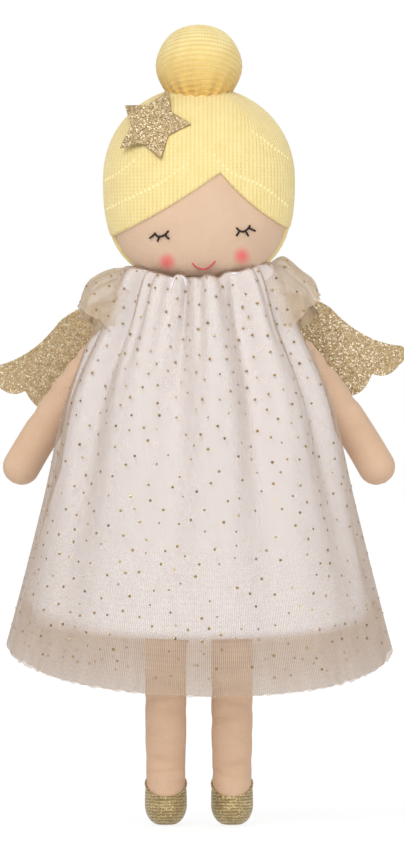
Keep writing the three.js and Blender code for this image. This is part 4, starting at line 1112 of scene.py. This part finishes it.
foil = glitter_material("gold_foil", 1.6, rgb(106, 84, 48), rgb(152, 126, 80), rgb(226, 206, 160), 0.3)
dots = foil_dots("dress_gold_dots", overlay_point, DOT_SPACING, 9000, 5, clear_of_arms)
dots.data.materials.append(foil)
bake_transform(overlay)
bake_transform(dots)

# Neck elastic: a thin white cord in the casing between the two layers, which draws the neckline in.
# It is a closed ring, and only the gathered cloth holds it in its place.
elastic = cloth_material("elastic_cord", weave, rgb(226, 224, 220), rgb(250, 249, 246), 0.8, 0.2)
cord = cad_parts["neck_elastic"]
for place in cord.material_slots:
    place.link = "OBJECT"
    place.material = elastic

# Sleeve frills: puffed caps of doubled tulle, gathered into the shoulder seams over the arms.
# The outer edge of each lies on the arm, and the doll's left one stands higher.
FRILL_TURN, FRILL_TAPER, REAR_TAPER = math.radians(95), 0.6, 0.35
FRILL_SEAM_X, FRILL_EDGE_X, FRILL_FOOT_Z = 37, 79, 45
FRILL_DEPTHS, FRILL_RISES = (26.0, 34.0), (31, 18)
FRILL_PUFF, FRILL_ROLL = 5.5, 4.5
FRILL_WIDE, FRILL_LONG, FRILL_DOT_SPACING = 110, 45, 8.5


def frill_point(side):
    def place(u, v):
        turn = blend_of(-FRILL_TURN, FRILL_TURN, u)
        ring, rise = 1 - np.cos(turn), np.cos(turn)
        upright = np.clip(rise, 0, 1)
        out = v * (1 - np.where(turn < 0, FRILL_TAPER, REAR_TAPER) * ring**2)
        gathers = np.cos(13 * turn + 2.4 * np.sin(3 * turn + side))
        gathers = (0.3 - ((1 + gathers) / 2) ** 1.4) * smooth_step(0.08, 0.4, v) * (1 - 0.3 * v**4)
        wave = out * (1.6 * np.cos(5 * turn + 2 * side) + 1.1 * np.cos(11 * turn + side)) + 3.0 * gathers
        lift = 2.5 * (1 - v**3)
        if side > 0:
            lift = 4 + 6.5 * bell(v - 0.36, 0.2) - 2 * (1 - v) ** 3
        roll = smooth_step(0.72, 1, v)
        seam = FRILL_SEAM_X + 14 * ring - 7 * smooth_step(0, 1, turn)
        x = blend_of(seam, FRILL_EDGE_X - 3 * ring, out) + wave - 4 * roll**2
        y = blend_of(4.0, 6.0, out) + (blend_of(*FRILL_DEPTHS, out) + wave) * np.sin(turn)
        droop = FRILL_ROLL * roll + 8 * v**2 * bell(turn - 0.6, 0.35) + 5 * v * smooth_step(0.7, 1.3, turn)
        puff = FRILL_PUFF * np.sin(np.pi * v) * upright
        z = FRILL_FOOT_Z + blend_of(*FRILL_RISES, out) * rise + lift * upright + puff + 2.5 * gathers - droop
        return np.stack([side * x, y, z], 1)
    return place


frill_tulle = tulle_material("frill_tulle", rgb(172, 149, 121), rgb(226, 207, 183), 0.5, 0.88, 0.35)
for name, side in SIDES:
    frill = sewn_grid(
        f"{name}_tulle_frill", 150, 44, frill_point(side),
        lambda u, v: np.stack([u * FRILL_WIDE, v * FRILL_LONG], 1) / 100,
    )
    frill.data.materials.append(frill_tulle)
    spots = foil_dots(
        f"{name}_frill_dots", frill_point(side), FRILL_DOT_SPACING, 260, 8 + side,
        lambda points, v: (v > 0.12) & (v < 0.95), -side,
    )
    spots.data.materials.append(foil)
    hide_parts(f"{name}_sleeve_frill")
    for piece in (frill, spots):
        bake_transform(piece)

# Wings: a pair of stiff gold glitter cloths with scalloped lower edges, sewn to the back of the dress.
# Each flaps about its root, and the doll's right one droops a little.
WING_SPAN, WING_ROOT_X, WING_ROOT_TOP, WING_DEPTH, WING_FOOT = 125, 6, 48, 64, 4
WING_PLANE = {"left": 52.6, "right": 56.6}
WING_DROOP = {"left": 0.0, "right": math.radians(6)}
WING_EDGE = np.array([
    [(0, 0), (0.34, 0.47), (0.62, 0.11)], [(0.62, 0.11), (0.78, -0.235), (0.98, -0.265)],
    [(0.98, -0.265), (1.03, -0.35), (0.97, -0.45)], [(0.97, -0.45), (0.91, -0.61), (0.83, -0.54)],
    [(0.83, -0.54), (0.77, -0.85), (0.65, -0.72)], [(0.65, -0.72), (0.53, -1.06), (0.4, -0.87)],
    [(0.4, -0.87), (0.2, -1.0), (0.0, -0.6875)],
])
edge = np.vstack([bend(*stretch, np.linspace(0, 1, 60)[:, None]) for stretch in WING_EDGE])
tip = edge[:, 0].argmax()
upper, lower = edge[: tip + 1], edge[tip:][::-1]


def wing_point(name, side):
    def place(u, v):
        out = edge[tip, 0] * (1 - (1 - u) ** 1.3)
        top = np.interp(out, upper[:, 0], upper[:, 1])
        foot = np.interp(out, lower[:, 0], lower[:, 1])
        x = WING_SPAN * out
        z = WING_ROOT_TOP + WING_DEPTH * blend_of(foot, top, v)
        droop = WING_DROOP[name]
        swing = z - WING_FOOT
        bow = 0.5 * np.sin(x / 17 + 1) * np.sin(z / 15)
        return np.stack([
            side * (WING_ROOT_X + x * math.cos(droop) + swing * math.sin(droop)),
            WING_PLANE[name] + bow,
            WING_FOOT - x * math.sin(droop) + swing * math.cos(droop),
        ], 1)
    return place


wing_glitter = glitter_material(
    "wing_glitter", 0.75, rgb(148, 124, 88), rgb(188, 164, 124), rgb(240, 230, 206), 0.4
)
for name, side in SIDES:
    wing = sewn_grid(f"{name}_wing_cloth", 200, 70, wing_point(name, side))
    apply_modifier(wing, "SOLIDIFY", thickness=0.0022, offset=0)
    apply_modifier(wing, "BEVEL", width=0.0005, segments=2, **SHARP_EDGES)
    wing.data.materials.append(wing_glitter)
    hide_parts(f"{name}_wing")
    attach(wing, f"{name}_wing")
